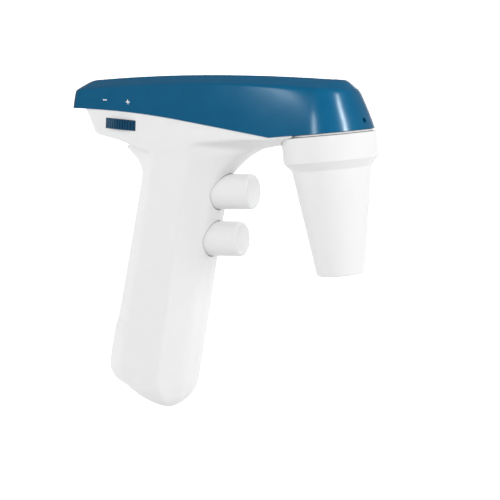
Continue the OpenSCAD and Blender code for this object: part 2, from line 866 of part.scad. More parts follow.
module eccentric() {
  color([0.8, 0.65, 0.35]) at_motor() difference() {
    translate([pump_throw, 0, ecc_z]) cylinder(r = ecc_r, h = ecc_h);
    translate([0, 0, ecc_z - 1]) cylinder(r = shaft_r, h = ecc_h + 2, $fn = 32);
  }
}

head_top = 76.8;
head_low = 70.6;
head_r = 11.9;
diaphragm_h = 0.8;
frame_low = head_top + diaphragm_h;
ring_r = ecc_r + 2 * pump_throw + ring_clear;

module at_pump_screws() {
  for (a = [45 : 90 : 315]) {
    translate([pump_x + 9.6 * cos(a), 9.6 * sin(a), 0]) children();
  }
}

module connecting_rod() {
  color([0.85, 0.86, 0.82]) {
    at_motor() translate([0, 0, ecc_z + 0.5]) difference() {
      union() {
        cylinder(r = ring_r + 1.7, h = 5);
        translate([ring_r + 0.4, -2, 0]) cube([motor_z - frame_low - ring_r - 1.4, 4, 5]);
      }
      translate([0, 0, -1]) cylinder(r = ring_r, h = 7);
    }
    translate([pump_x, 0, frame_low]) cylinder(r = 4.6, h = 1.1);
  }
}

module diaphragm() {
  color(dark) difference() {
    translate([pump_x, 0, head_top]) cylinder(r = head_r - 0.1, h = diaphragm_h);
    at_pump_screws() translate([0, 0, head_top - 1]) cylinder(r = screw_r + 0.05, h = 3, $fn = 32);
  }
}

module pump_frame() {
  color(dark) difference() {
    union() {
      translate([pump_x, 0, frame_low]) cylinder(r = head_r, h = 1.8);
      translate([motor_x, -head_r, frame_low]) cube([2.2, 2 * head_r, 20]);
      for (a = [-1, 1]) {
        translate([motor_x, a * (head_r - 1) - 1, frame_low]) cube([24, 2, 16]);
      }
      translate([motor_x, -head_r, frame_low]) cube([12, 2 * head_r, 1.8]);
    }
    translate([pump_x, 0, frame_low - 1]) cylinder(r = 6.4, h = 5);
    at_motor() translate([0, 0, -1]) cylinder(r = 3.1, h = 6);
    at_pump_screws() translate([0, 0, frame_low - 1]) cylinder(r = screw_r, h = 4, $fn = 32);
  }
}

pump_port_z = 72.9;

module pump_head() {
  color([0.85, 0.86, 0.82]) difference() {
    union() {
      translate([pump_x, 0, head_low]) cylinder(r = head_r, h = head_top - head_low);
      for (y = [-port_y, port_y]) {
        translate([motor_x - 6, y, pump_port_z]) rotate([0, 90, 0]) cylinder(r = barb_r, h = 8, $fn = 32);
      }
    }
    for (y = [-port_y, port_y]) {
      translate([pump_x, y, head_top - 2]) cylinder(r = 2.9, h = 3, $fn = 32);
      translate([pump_x, y, pump_port_z]) cylinder(r = port_bore, h = 4, $fn = 24);
      translate([motor_x - 7, y, pump_port_z]) rotate([0, 90, 0])
        cylinder(r = port_bore, h = pump_x - motor_x + 7.5, $fn = 24);
    }
    at_pump_screws() translate([0, 0, head_low + 1.5]) cylinder(r = screw_r, h = 10, $fn = 32);
  }
}

module pump_flaps() {
  color(dark) for (y = [-port_y, port_y]) {
    translate([pump_x, y, head_top - 2]) cylinder(r = 2.8, h = 0.5, $fn = 32);
  }
}

module pump_screws() {
  color(steel) at_pump_screws() {
    translate([0, 0, head_low + 2]) cylinder(r = screw_r - 0.02, h = frame_low - head_low, $fn = 32);
    translate([0, 0, frame_low + 1.8]) cylinder(r = 1.9, h = 1.4, $fn = 32);
  }
}

mount_z = [-26, -8];
mount_h = 4;
mount_r = 13.5;

module pump_mounts() {
  color(dark) at_motor() for (z = mount_z) translate([0, 0, z]) difference() {
    cylinder(r = mount_r, h = mount_h);
    translate([0, 0, -1]) cylinder(r = motor_r, h = mount_h + 2);
  }
}

// Two rails that carry the rubber mounts against the shell walls
module motor_rails() {
  color([0.85, 0.86, 0.82]) difference() {
    for (a = [-1, 1]) {
      translate([motor_x - 27, a > 0 ? 10.5 : -16.4, 79.5]) cube([24, 5.9, 9]);
    }
    at_motor() translate([0, 0, -40]) cylinder(r = mount_r, h = 60);
  }
}

// ---- hoses and leads ---------------------------------------------------

hose_r = 2.4;
hose_bore = (barb_r + 0.08) / cos(22.5);

function air_route(y) = [
  [motor_x - 0.5, y, pump_port_z],
  [-56, y, pump_port_z],
  [-60, y, pump_port_z - 0.1],
  [-71, y, 70.8],
  [-79.6, y, 67.2],
  [port_x, y, 61.2],
  [port_x, y, 58],
  [port_x, y, 54.2]
];

nose_route = [
  [nose_port_x, 0, 54.6],
  [nose_port_x, 0, 57.6],
  [nose_port_x, 0.8, 61],
  [-87, 7, 67],
  [-81, 13.4, 72.6],
  [-67, 14.6, 74.8],
  [-52, 15, 75],
  [-38, 15.2, 75.4],
  [-23, 14, 77],
  [-11, 10.6, 83],
  [-3.6, 4.6, 88],
  [-0.3, 0.5, 84.6],
  [0, 0, 81],
  [0, 0, 77.8],
  [0, 0, 74.6]
];

module suction_hose() {
  color([0.75, 0.78, 0.8]) tube(air_route(-port_y), hose_r, hose_bore, [0, 1, 0]);
}

module pressure_hose() {
  color([0.75, 0.78, 0.8]) tube(air_route(port_y), hose_r, hose_bore, [0, 1, 0]);
}

module nose_hose() {
  color([0.75, 0.78, 0.8]) tube(nose_route, hose_r, hose_bore, [1, 0, 0]);
}

lead_r = 0.8;
thin_lead_r = 0.5;

// The last two points of a lead, straight into the front of a board connector
function plug_in(k) =
  let (height = board_z + board_h + connector_size[2] / 2)
  [for (d = [1.2, 0.02]) beside_wheel([connector_x + connector_size[0] + d, connector_y[k], height])];

cell_route = [
  [-102.4, -9, 14],
  [-101.6, -10.8, 15.8],
  [-98.4, -13.2, 18.4],
  [-93.6, -13.4, 26],
  [-92, -13.4, 42],
  [-90.4, -13.4, 58],
  [-89.2, -14, 72],
  [-88, -14.4, 82],
  [-85.6, -13.8, 90],
  [-84.8, -11.4, 94],
  each plug_in(0)
];

charge_route = [
  [-102.4, -4, -57.4],
  [-100.4, -7, -52],
  [-96, -9, -40],
  [-92.8, -9.4, -28],
  [-89.5, -9.4, -14],
  [-85.6, -9.6, 1],
  [-87.4, -13, 11.6],
  [-88.2, -13.4, 24],
  [-87.6, -13.4, 42],
  [-86.4, -13.4, 58],
  [-85.6, -14.2, 74],
  [-84.6, -14.6, 84],
  [-83.4, -12, 92],
  [-83.6, -7.4, 96.4],
  each plug_in(1)
];

motor_route = [
  [-84.7, 5, motor_z + 0.4],
  [-84.7, 5, 90.2],
  [-84.6, 4.5, 92.4],
  [-84.3, 3.4, 94.6],
  [-85, 2.7, 95.66],
  each plug_in(2)
];

lamp_route = [
  [-31.1, 5, 93.6],
  [-32.3, 5.2, 93.9],
  [-38, 9.6, 97.4],
  [-46, 10.6, 99.4],
  [-60, 11.2, 101],
  [-74, 11.2, 101.4],
  [-82.6, 10.4, 99.2],
  each plug_in(3)
];

module cell_lead() {
  color([0.7, 0.1, 0.1]) tube(cell_route, lead_r, 0, [0, 1, 0], 6, 3);
}

module charge_lead() {
  color(dark) tube(charge_route, lead_r, 0, [0, 1, 0], 6, 3);
}

module motor_lead() {
  color([0.7, 0.1, 0.1]) tube(motor_route, thin_lead_r, 0, [0, 1, 0], 6, 3);
}

module lamp_lead() {
  color(dark) tube(lamp_route, thin_lead_r, 0, [0, 1, 0], 6, 3);
}

// ---- nose --------------------------------------------------------------

thread_r = 20.2;
thread_clear = 0.3;
plug_r = 4;
plug_clear = 0.06;
spigot_low = 57.8;
tube_low = 56;
housing_wall = 2.4;

module nose_spigot() {
  color([0.9, 0.9, 0.9]) difference() {
    union() {
      rotate_extrude($fn = 96)
        polygon([
          [0, tube_low],
          [6.6, tube_low],
          [6.6, 69],
          [17.4, 69],
          [17.4, spigot_low],
          [thread_r - 0.6, spigot_low],
          for (k = [0 : 2]) let (z = 59.4 + 3 * k) each [
            [thread_r - 0.6, z],
            [thread_r, z + 0.6],
            [thread_r, z + 1],
            [thread_r - 0.6, z + 1.6]
          ],
          [thread_r - 0.6, cone_h + reveal],
          [nose_r - 0.8, cone_h + reveal],
          [nose_r - 0.8, cone_h + 1],
          [thread_r - 1, cone_h + 1],
          [thread_r - 1, lug_z + 2],
          [0, lug_z + 2]
        ]);
      for (a = [-1, 1]) {
        translate([lug_x, a * lug_y, lug_z]) cylinder(r = 3.2, h = 2, $fn = 32);
        translate([lug_x, a * lug_y - 3.2, lug_z]) cube([14, 6.4, 2]);
      }
      translate([0, 0, lug_z]) cylinder(r = barb_r, h = 10, $fn = 32);
    }
    translate([0, 0, tube_low - 1]) cylinder(r = plug_r + plug_clear, h = 10, $fn = 48);
    translate([0, 0, tube_low - 1]) cylinder(r = 5.4, h = 2.8, $fn = 48);
    translate([0, 0, 60]) cylinder(r = port_bore, h = 30, $fn = 24);
    for (a = [-1, 1]) {
      translate([lug_x, a * lug_y, lug_z - 1]) cylinder(r = screw_r, h = 5, $fn = 32);
    }
  }
}

module nose_seal() {
  color(dark) translate([0, 0, tube_low + 0.9]) rotate_extrude()
    translate([plug_r + plug_clear + 0.66, 0]) circle(r = 0.65, $fn = 24);
}

module spigot_screws() {
  color(steel) for (a = [-1, 1]) translate([lug_x, a * lug_y, 0]) {
    translate([0, 0, lug_z - 3.2]) cylinder(r = pilot_r, h = 5.4, $fn = 32);
    translate([0, 0, lug_z + 2]) cylinder(r = 2, h = 1.4, $fn = 32);
  }
}

filter_z = 42;
filter_h = 5.5;
filter_r = 15;

module membrane_filter() {
  color([0.95, 0.95, 0.97]) difference() {
    rotate_extrude()
      polygon([
        [0, filter_z - 8],
        [plug_r, filter_z - 8],
        [plug_r, filter_z],
        [filter_r - 0.8, filter_z],
        [filter_r, filter_z + 0.8],
        [filter_r, filter_z + filter_h - 0.8],
        [filter_r - 0.8, filter_z + filter_h],
        [plug_r, filter_z + filter_h],
        [plug_r, filter_z + filter_h + 16],
        [0, filter_z + filter_h + 16]
      ]);
    translate([0, 0, filter_z - 9]) cylinder(r = 1.4, h = 11, $fn = 32);
    translate([0, 0, filter_z + filter_h - 2]) cylinder(r = 1.4, h = 20, $fn = 32);
  }
}

valve_low = 20.2;
valve_top = 30;

// Inner radius of the housing's cone at a height
function bore_at(z) = cone_tip_r - housing_wall + (cone_top_r - cone_tip_r - 1.2) * z / 52;

module adapter_housing() {
  edge = 1.2;
  collar_low = cone_h - collar_h;
  color(shell_white) rotate_extrude($fn = 128)
    polygon([
      [bore_at(0), 0],
      for (k = [0 : 5]) let (a = -90 + 18 * k)
        [cone_tip_r - edge + edge * cos(a), edge + edge * sin(a)],
      [cone_top_r, collar_low - 4.2],
      [collar_r - 0.35, collar_low - 0.25],
      [collar_r, collar_low + 0.35],
      [collar_r, cone_h - 0.5],
      [collar_r - 0.5, cone_h],
      [thread_r + thread_clear, cone_h],
      [thread_r + thread_clear, spigot_low - 0.5],
      [16.6, spigot_low - 0.5],
      [16.6, filter_z - 1],
      [bore_at(filter_z - 1), filter_z - 1]
    ]);
}

module check_valve() {
  color([0.3, 0.45, 0.7]) difference() {
    translate([0, 0, valve_low]) cylinder(r = 5.9, h = valve_top - valve_low - 0.2);
    translate([0, 0, valve_low - 1]) cylinder(r = 1.2, h = 20, $fn = 32);
    translate([0, 0, valve_low + 3]) cylinder(r = 3, h = 4, $fn = 32);
  }
}

module pipette_adapter() {
  top = 37;
  color(silicone) rotate_extrude($fn = 96)
    polygon([
      [socket_r, 0],
      [bore_at(0) - 0.05, 0],
      [bore_at(top) - 0.05, top],
      [plug_r + plug_clear, top],
      [plug_r + plug_clear, valve_top],
      [6, valve_top],
      [6, valve_low - 0.2],
      [2.4, valve_low - 0.2],
      [2.4, socket_length],
      [socket_r, socket_length]
    ]);
}

// ---- power -------------------------------------------------------------

module battery_cell() {
  color([0.15, 0.35, 0.6]) at_cell() {
    translate([0, 0, -cell_length / 2]) cylinder(r = cell_r, h = cell_length - 1);
    translate([0, 0, cell_length / 2 - 1.5]) cylinder(r = 3.5, h = 1.5);
  }
}

module cell_cradle() {
  end_z = cell_length / 2 + 0.5;
  color(dark) at_cell() difference() {
    translate([0, 0, -end_z - 1.4]) cylinder(r = cradle_r, h = 2 * (end_z + 1.4));
    translate([0, 0, -end_z]) cylinder(r = cell_r + 0.15, h = 2 * end_z);
    translate([-30, -20, -end_z]) cube([27, 40, 2 * end_z]);
    translate([-50, -20, -60]) cube([44.5, 40, 120]);
  }
}

module cell_contacts() {
  color(copper) at_cell() for (a = [-1, 1]) {
    translate([0, 0, a * (cell_length / 2 + 0.25)]) cylinder(r = 4.5, h = 0.44, center = true);
  }
}

socket_h = 8;

module charge_socket() {
  color(dark) at_inlet() {
    difference() {
      translate([0, 0, -socket_h]) cylinder(r = inlet_r, h = socket_h - 0.6);
      translate([0, 0, -socket_h + 1.2]) cylinder(r = 2.75, h = 20, $fn = 48);
    }
    translate([0, 0, -socket_h + 1]) cylinder(r = 0.8, h = socket_h - 3, $fn = 32);
  }
}

module charge_board() {
  color(board_green) at_inlet() translate([-5.5, -7, -socket_h - 1.4]) cube([11, 14, 1.4]);
}

handle_shell_right();
handle_shell_left();
top_cover();
status_window();
lamp_board();
status_lamp();
battery_door();
speed_wheel();
wheel_spindle();
wheel_bridge();
speed_potentiometer();
control_board();
board_parts();
board_screws();
aspirate_button();
dispense_button();
aspirate_stem();
dispense_stem();
aspirate_spring();
dispense_spring();
aspirate_seal();
dispense_seal();
valve_block();
valve_end_plate();
aspirate_switch();
dispense_switch();
switch_boards();
motor_can();
motor_magnets();
motor_rotor();
motor_shaft();
eccentric();
connecting_rod();
diaphragm();
pump_frame();
pump_head();
pump_flaps();
pump_screws();
pump_mounts();
motor_rails();
suction_hose();
pressure_hose();
nose_hose();
cell_lead();
charge_lead();
motor_lead();
lamp_lead();
nose_spigot();
nose_seal();
spigot_screws();
membrane_filter();
check_valve();
pipette_adapter();
adapter_housing();
battery_cell();
cell_cradle();
cell_contacts();
charge_socket();
charge_board();
case_screws();
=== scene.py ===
# Motorized pipette controller: the visual model, built round the CAD part.
#
# Lengths are millimetres in the part's own frame until add_mesh turns them into metres;
# lights and the stage are in metres. +X points from the grip to the nose, +Y to the user's
# left, +Z up along the nose cone.

import json
import math

import bmesh
import bpy
import numpy as np
from mathutils import Matrix, Vector
from mathutils.bvhtree import BVHTree


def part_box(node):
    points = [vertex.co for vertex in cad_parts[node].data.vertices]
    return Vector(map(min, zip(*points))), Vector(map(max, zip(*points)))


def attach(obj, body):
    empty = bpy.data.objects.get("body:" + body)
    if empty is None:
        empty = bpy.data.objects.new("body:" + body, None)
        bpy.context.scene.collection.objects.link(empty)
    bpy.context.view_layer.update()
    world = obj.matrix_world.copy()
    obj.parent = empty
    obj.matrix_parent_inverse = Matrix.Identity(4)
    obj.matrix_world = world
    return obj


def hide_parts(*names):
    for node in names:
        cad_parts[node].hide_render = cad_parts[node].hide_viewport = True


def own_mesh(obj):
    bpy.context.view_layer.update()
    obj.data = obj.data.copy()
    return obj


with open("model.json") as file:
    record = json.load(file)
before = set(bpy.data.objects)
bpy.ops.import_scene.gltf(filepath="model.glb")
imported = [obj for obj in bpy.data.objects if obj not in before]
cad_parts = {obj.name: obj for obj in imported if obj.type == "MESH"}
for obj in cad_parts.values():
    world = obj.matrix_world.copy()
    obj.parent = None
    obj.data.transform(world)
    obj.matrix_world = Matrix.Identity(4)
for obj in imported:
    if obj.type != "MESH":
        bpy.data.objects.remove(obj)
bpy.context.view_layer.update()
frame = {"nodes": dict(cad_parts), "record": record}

MM = 0.001


def box_mm(node):
    low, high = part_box(node)
    return np.array(low) / MM, np.array(high) / MM


# ---- sizes that the pieces share -----------------------------------------

COVER_LOW, COVER_HIGH = box_mm("top_cover")
_, CONE_HIGH = box_mm("adapter_housing")

WALL = 2.0
# Clear gap round the cone's collar, under the cover's edge, and between the two shells.
REVEAL = 0.3
COVER_GAP = 0.05
SEAM = 0.05
# How far the white body's nose stands back from the cover's.
TUB_INSET = 0.6
NOSE_R = COVER_HIGH[0]
TAIL_BOW = 1.6
TAIL_X = -COVER_LOW[0] - TAIL_BOW
TAIL_HALF_WIDTH = 19.0
TAIL_CORNER = 5.0
CONE_H = CONE_HIGH[2]
COLLAR_R = CONE_HIGH[0]
NOSE_EDGE_Z = COVER_LOW[2]
VOXEL = 0.55
GRIP_HALF_WIDTH = 17.5
# The grip's front and back lines where they cross z = 0, and their lean.
GRIP_FRONT_X, GRIP_FRONT_SLOPE = -75.1, 0.2825
GRIP_BACK_X, GRIP_BACK_SLOPE = -124.5, 0.322

BUTTONS = [
    {"node": "aspirate_button", "face": (-44.5, 0, 43.7), "length": 27.0},
    {"node": "dispense_button", "face": (-53.3, 0, 19.6), "length": 25.2},
]
BUTTON_R = 9.1
BUTTON_GAP = 0.45
BUTTON_TILT = 3.0
BUTTON_TRAVEL = 4.5
FLANGE_R = 10.6
FLANGE_H = 1.6
SPRING_R = 4.6
SPRING_WIRE = 0.4
SPRING_TURNS = 7
# The spring's front end, measured from the button's face; how far its seat lies behind the
# flange of a pressed button; and the clear gap at each of its ends.
SPRING_HIGH = -4.6
SPRING_SEAT = 0.4
SPRING_PLAY = 0.05

WHEEL_AT = (-108.5, 0, 84)
WHEEL_TILT = 9.5
WHEEL_R = 20.7
WHEEL_H = 5.0
WHEEL_GAP = 0.25

SCREWS = [(-60, 60.5), (-99.5, 61.5), (-90.5, 4), (-100.2, -28), (-106.5, -51.5)]
SCREW_HEAD_R = 2.6
SCREW_SHANK_R = 1.3
BOSS_R = 3.2

DOOR_TOP_Z = -20.5
DOOR_TOP_X = -121.0
DOOR_LOW_Z = -57.5
DOOR_GAP = 0.04
DOOR_PROUD = 0.8
DOOR_SLOPE = math.tan(math.radians(16.8))

INLET_AT = (-109, 0, -67.2)
INLET_TURN = 155
INLET_R = 4.3

WINDOW_X = -21.0
WINDOW_LENGTH = 12.0
WINDOW_R = 2.5
WINDOW_GAP = 0.06
VENT_Z = 75.0
VENT_TURN = -12
VENT_R = 1.25


# ---- curves and forms ----------------------------------------------------


def smooth_line(points):
    """A smooth function through (x, y) points that never overshoots them."""
    x, y = np.array(sorted(points), float).T
    step = np.diff(x)
    rise = np.diff(y) / step
    slope = np.zeros_like(y)
    for i in range(1, len(x) - 1):
        if rise[i - 1] * rise[i] > 0:
            slope[i] = 2 * rise[i - 1] * rise[i] / (rise[i - 1] + rise[i])
    slope[0], slope[-1] = rise[0], rise[-1]

    def at(v):
        v = min(max(v, x[0]), x[-1])
        i = min(int(np.searchsorted(x, v, side="right")) - 1, len(x) - 2)
        t = (v - x[i]) / step[i]
        return (
            (1 + 2 * t) * (1 - t) ** 2 * y[i]
            + t * (1 - t) ** 2 * step[i] * slope[i]
            + t * t * (3 - 2 * t) * y[i + 1]
            + t * t * (t - 1) * step[i] * slope[i + 1]
        )

    return at


def edge_z(x):
    """Height of the cover's lower edge: level at the nose, then rising, then easing off."""
    slope, rise_x = 0.25, -22.5
    sag, sag_x = 0.00108, -72
    rise = slope * (rise_x - x) - sag * max(0.0, sag_x - x) ** 2
    return NOSE_EDGE_Z + max(0.0, rise)


def crown_z(x):
    """Height of the cover's arched top: a chord through two points, and a bow over it."""
    tail_x, tail_z, middle_x = -126.6, 108.5, -62.8
    slope, bow = 0.0533, 0.00056
    return tail_z - slope * (x - tail_x) - bow * (x - tail_x) * (x - middle_x)


def half_width(x):
    """Half of the head's width, which grows towards the nose."""
    return TAIL_HALF_WIDTH + (NOSE_R - TAIL_HALF_WIDTH) * (max(0.0, x + 130) / 130) ** 2


# Heights at which the head's side wall and its belly begin, along X.
side_z = smooth_line(
    [(-134, 91), (-127, 82), (-124, 80.3), (-113, 76.7), (-94, 69.3), (-80, 69), (-63, 71.4),
     (-39, 71.2), (-24, 70), (30, 70)]
)
belly_z = smooth_line(
    [(-134, 90), (-127, 80.5), (-124, 79), (-113, 75.5), (-94, 66), (-60, 64), (-45, 64.4),
     (-24, 66), (30, 66)]
)


def half_outline(front, back, inset):
    """Half of the head's plan outline, from the nose tip round to the middle of the tail."""
    corner_x = -back + TAIL_CORNER
    bow_at = half_width(-back) - inset - TAIL_CORNER
    quarter = np.linspace(0, math.pi / 2, 30, endpoint=False)
    points = [(front * math.cos(a), front * math.sin(a)) for a in quarter]
    for x in np.linspace(0, corner_x, 60, endpoint=False):
        blend = (1 + x / 60) ** 2 if x > -60 else 0
        points.append((x, half_width(x) - inset + (front - NOSE_R + inset) * blend))
    for a in np.linspace(math.pi / 2, math.pi, 9):
        points.append((corner_x + TAIL_CORNER * math.cos(a), bow_at + TAIL_CORNER * math.sin(a)))
    for s in np.linspace(0.2, 1, 5):
        points.append((-back - TAIL_BOW * (1 - (1 - s) ** 2), bow_at * (1 - s)))
    return points


def mirrored(half):
    """A closed ring from a half ring whose first and last points lie on the XZ plane."""
    return half + [(x, -y, *rest) for x, y, *rest in reversed(half[1:-1])]


def head_ring(front, back, inset, widen, z_of):
    """The head's plan outline, with the height of each point from its X."""
    return mirrored([(x, y * widen, z_of(x)) for x, y in half_outline(front, back, inset)])


def cover_rings(depth):
    """Rings of the cover's surface, or of its inside when depth is above zero.

    Each row holds the step back at the nose and at the tail, the step in at the sides, the
    width's scale, how far up the side wall it lies, and its drop below the crown.
    """
    rows = [
        (0, 0, 0, 1, 0, 5),
        (2.6, 1.3, 0, 1.005, 0.5, 5),
        (6.0, 2.8, 0, 0.99, 0.98, 4.7),
        (6.8, 3.4, 0.45, 0.974, 1, 4.1),
        (10.6, 9.0, 2, 0.79, 1, 0.8),
        (12.2, 11.5, 2, 0.72, 1, 0.1),
        (15.5, 16, 2, 0.3, 1, -0.2),
    ]
    columns = [smooth_line(list(enumerate(column))) for column in zip(*rows)]
    rings = []
    for v in np.linspace(0, len(rows) - 1, 8 * (len(rows) - 1) + 1):
        nose, tail, inset, widen, rise, drop = (column(v) for column in columns)

        def z_of(x, rise=rise, drop=drop):
            low = edge_z(x) - (1 if depth else 0)
            return low + (crown_z(x) - drop - depth - low) * rise

        front, back = NOSE_R - nose - depth, TAIL_X - tail - depth
        rings.append(head_ring(front, back, inset + depth, widen, z_of))
    return rings


def tub_rings(depth):
    """The white body under the cover, a little taller than it ends up.

    Each row holds the tail's X, the step in at the sides, the width's scale, how far up the
    belly and the side wall it lies, and the share of the wall that the inside is lifted by.
    """
    rows = [
        (127.0, 1.6, 0.02, 0, 1.0),
        (127.0, 1.6, 0.28, 0, 1.0),
        (127.4, 1.2, 0.86, 0.75, 0.9),
        (127.8, 0.5, 1.0, 1, 0.7),
        (133.5, 0.4, 1.0, 2, 0),
    ]
    columns = [smooth_line(list(enumerate(column))) for column in zip(*rows)]
    rings = []
    for v in np.linspace(0, len(rows) - 1, 6 * (len(rows) - 1) + 1):
        back, inset, widen, part, lift = (column(v) for column in columns)

        def z_of(x, part=part, lift=lift):
            wall_z = belly_z(x) + (side_z(x) - belly_z(x)) * min(part, 1)
            top_z = edge_z(x) + 3
            return wall_z + (top_z - wall_z) * max(part - 1, 0) + depth * lift

        front = NOSE_R - TUB_INSET - depth
        rings.append(head_ring(front, back - depth, inset + depth, widen, z_of))
    return rings


# The grip runs out into the head at its top, and rounds off into the foot at its bottom.
front_flare = smooth_line([(44, 0), (50, 1), (54, 3.2), (58, 6.8), (62, 12), (65, 18), (76, 18)])
back_flare = smooth_line([(54, 0), (58, 0.6), (62, 2.6), (66, 6), (70, 11), (73, 14.5), (76, 18)])
neck_widen = smooth_line([(56, 0), (62, 0.3), (67, 0.9), (71, 1.6)])
front_foot = smooth_line(
    [(-69.2, 8), (-68.4, 7.2), (-66.8, 5), (-64.5, 2.8), (-61.5, 1.2), (-56, 0.3), (-50, 0)]
)
back_foot = smooth_line(
    [(-69.2, 39.6), (-68.4, 38.5), (-66.8, 34.5), (-64.5, 29), (-62, 22.5), (-59.5, 17.5),
     (-57, 13), (-54, 8.4), (-51, 4.4), (-48, 1.8), (-45, 0.4), (-41, 0)]
)
foot_width = smooth_line(
    [(-69.2, 5.4), (-68.4, 7.5), (-66.8, 10.8), (-64.5, 13.4), (-62, 15), (-59.5, 16),
     (-57, 16.8), (-54, 17.2), (-48, GRIP_HALF_WIDTH)]
)


def rounded(a, b, c, radius, steps=6):
    """Points of an arc that rounds the corner at b."""
    a, b, c = (np.array(p, float) for p in (a, b, c))
    before, after = np.linalg.norm(a - b), np.linalg.norm(c - b)
    u, v = (a - b) / before, (c - b) / after
    half = math.acos(float(np.clip(u @ v, -1, 1))) / 2
    reach = min(radius / math.tan(half), 0.45 * before, 0.45 * after)
    start, end = b + u * reach, b + v * reach
    return [
        tuple((1 - s) ** 2 * start + 2 * s * (1 - s) * b + s * s * end)
        for s in np.linspace(0, 1, steps + 1)
    ]


def grip_ring(z, depth):
    """One level section of the grip: rounded front, facet, flat side, facet, rounded back."""
    front = GRIP_FRONT_X + GRIP_FRONT_SLOPE * z + front_flare(z) - front_foot(z) - depth
    back = GRIP_BACK_X + GRIP_BACK_SLOPE * z - back_flare(z) + back_foot(z) + depth
    width = foot_width(z) + neck_widen(z) - depth
    span = front - back
    scale = width / GRIP_HALF_WIDTH
    nose = (front, 0)
    lip = (front - min(1.3, 0.05 * span), 9 * scale)
    front_crease = (front - min(14, 0.3 * span) - front_flare(z), width)
    back_crease = (back + min(12, 0.26 * span) + back_flare(z), width)
    heel = (back + min(0.8, 0.03 * span), 8.5 * scale)
    tail = (back, 0)
    radius = max(1.2, min(6, 0.12 * span))
    half = [
        nose,
        *rounded(nose, lip, front_crease, radius),
        *rounded(lip, front_crease, back_crease, 0.6 * radius),
        *rounded(front_crease, back_crease, heel, 0.6 * radius),
        *rounded(back_crease, heel, tail, radius),
        tail,
    ]
    return [(x, y, z) for x, y in mirrored(half)]


def grip_rings(depth):
    """Rings of the grip's surface, or of its inside when depth is above zero."""
    foot, top = np.linspace(-69.2, -41, 40), np.linspace(44, 73, 24)
    if depth:
        foot, top = np.linspace(-65.5, -41, 24), np.linspace(44, 75, 16)
    levels = np.concatenate([foot, np.linspace(-38, 42, 12), top])
    return [grip_ring(z, depth) for z in levels]


# ---- mesh helpers --------------------------------------------------------


def add_mesh(name, points, faces):
    mesh = bpy.data.meshes.new(name)
    mesh.from_pydata([tuple(c * MM for c in p) for p in points], [], faces)
    mesh.validate()
    made = bpy.data.objects.new(name, mesh)
    bpy.context.scene.collection.objects.link(made)
    return made


def walls(rows, count, first=0):
    """Faces between each ring of points and the next: rows rings of count points."""
    faces = []
    for low in range(first, first + (rows - 1) * count, count):
        high = low + count
        for i in range(count):
            j = (i + 1) % count
            faces.append((low + i, low + j, high + j, high + i))
    return faces


def outward(piece):
    """Makes every normal point out of the solid."""
    work = bmesh.new()
    work.from_mesh(piece.data)
    bmesh.ops.recalc_face_normals(work, faces=work.faces)
    work.to_mesh(piece.data)
    work.free()
    return piece


def loft(name, rings):
    """A closed solid through rings that are symmetric about the XZ plane."""
    count = len(rings[0])
    points = [p for ring in rings for p in ring]
    faces = walls(len(rings), count)
    for start in (0, (len(rings) - 1) * count):
        for i in range(count // 2):
            strip = [i, i + 1, count - i - 1, (count - i) % count]
            faces.append(tuple(dict.fromkeys(start + s for s in strip)))
    return outward(add_mesh(name, points, faces))


def lathe(name, profile, place=Matrix.Identity(4), steps=128):
    """Turns a closed (radius, height) profile about its Z axis."""
    points, faces, rows = [], [], []
    for radius, height in profile:
        if radius < 1e-6:
            rows.append([len(points)] * steps)
            points.append((0, 0, height))
        else:
            rows.append(list(range(len(points), len(points) + steps)))
            for a in np.linspace(0, 2 * math.pi, steps, endpoint=False):
                points.append((radius * math.cos(a), radius * math.sin(a), height))
    for k, row in enumerate(rows):
        after = rows[(k + 1) % len(rows)]
        for i in range(steps):
            j = (i + 1) % steps
            face = tuple(dict.fromkeys((row[i], row[j], after[j], after[i])))
            if len(face) > 2:
                faces.append(face)
    points = [tuple(place @ Vector(p)) for p in points]
    return outward(add_mesh(name, points, faces))


def fillet(profile, radii, steps=6):
    """Rounds the corners of a profile: radii maps a point's index to its radius."""
    made = []
    for i, p in enumerate(profile):
        if i in radii:
            made += rounded(profile[i - 1], p, profile[(i + 1) % len(profile)], radii[i], steps)
        else:
            made.append(p)
    return made


def rod(name, radius, low, high, place=Matrix.Identity(4), steps=64):
    return lathe(name, [(0, low), (radius, low), (radius, high), (0, high)], place, steps)


def prism(name, outline, half_depth):
    """A solid from an XZ outline, from -half_depth to half_depth along Y."""
    count = len(outline)
    points = [(x, y, z) for y in (-half_depth, half_depth) for x, z in outline]
    faces = [tuple(range(count)), tuple(range(2 * count - 1, count - 1, -1))]
    faces += [(i, (i + 1) % count, count + (i + 1) % count, count + i) for i in range(count)]
    return outward(add_mesh(name, points, faces))


def block(name, low, high):
    outline = [(low[0], low[2]), (high[0], low[2]), (high[0], high[2]), (low[0], high[2])]
    made = prism(name, outline, (high[1] - low[1]) / 2)
    made.data.transform(Matrix.Translation((0, (low[1] + high[1]) / 2 * MM, 0)))
    return made


def apply(piece):
    """Applies every modifier of the piece."""
    graph = bpy.context.evaluated_depsgraph_get()
    mesh = bpy.data.meshes.new_from_object(piece.evaluated_get(graph))
    old = piece.data
    piece.modifiers.clear()
    piece.data = mesh
    bpy.data.meshes.remove(old)
    return piece


def drop(*pieces):
    for piece in pieces:
        mesh = piece.data
        bpy.data.objects.remove(piece)
        bpy.data.meshes.remove(mesh)


def boolean(piece, other, operation, keep=False):
    step = piece.modifiers.new("boolean", "BOOLEAN")
    step.operation = operation
    step.solver = "MANIFOLD"
    step.object = other
    apply(piece)
    if not keep:
        drop(other)
    return piece


def copy_of(piece, name):
    made = piece.copy()
    made.data = piece.data.copy()
    made.name = name
    bpy.context.scene.collection.objects.link(made)
    return made


def smooth_shaded(piece, angle=32):
    for face in piece.data.polygons:
        face.use_smooth = True
    piece.data.set_sharp_from_angle(angle=math.radians(angle))
    return piece


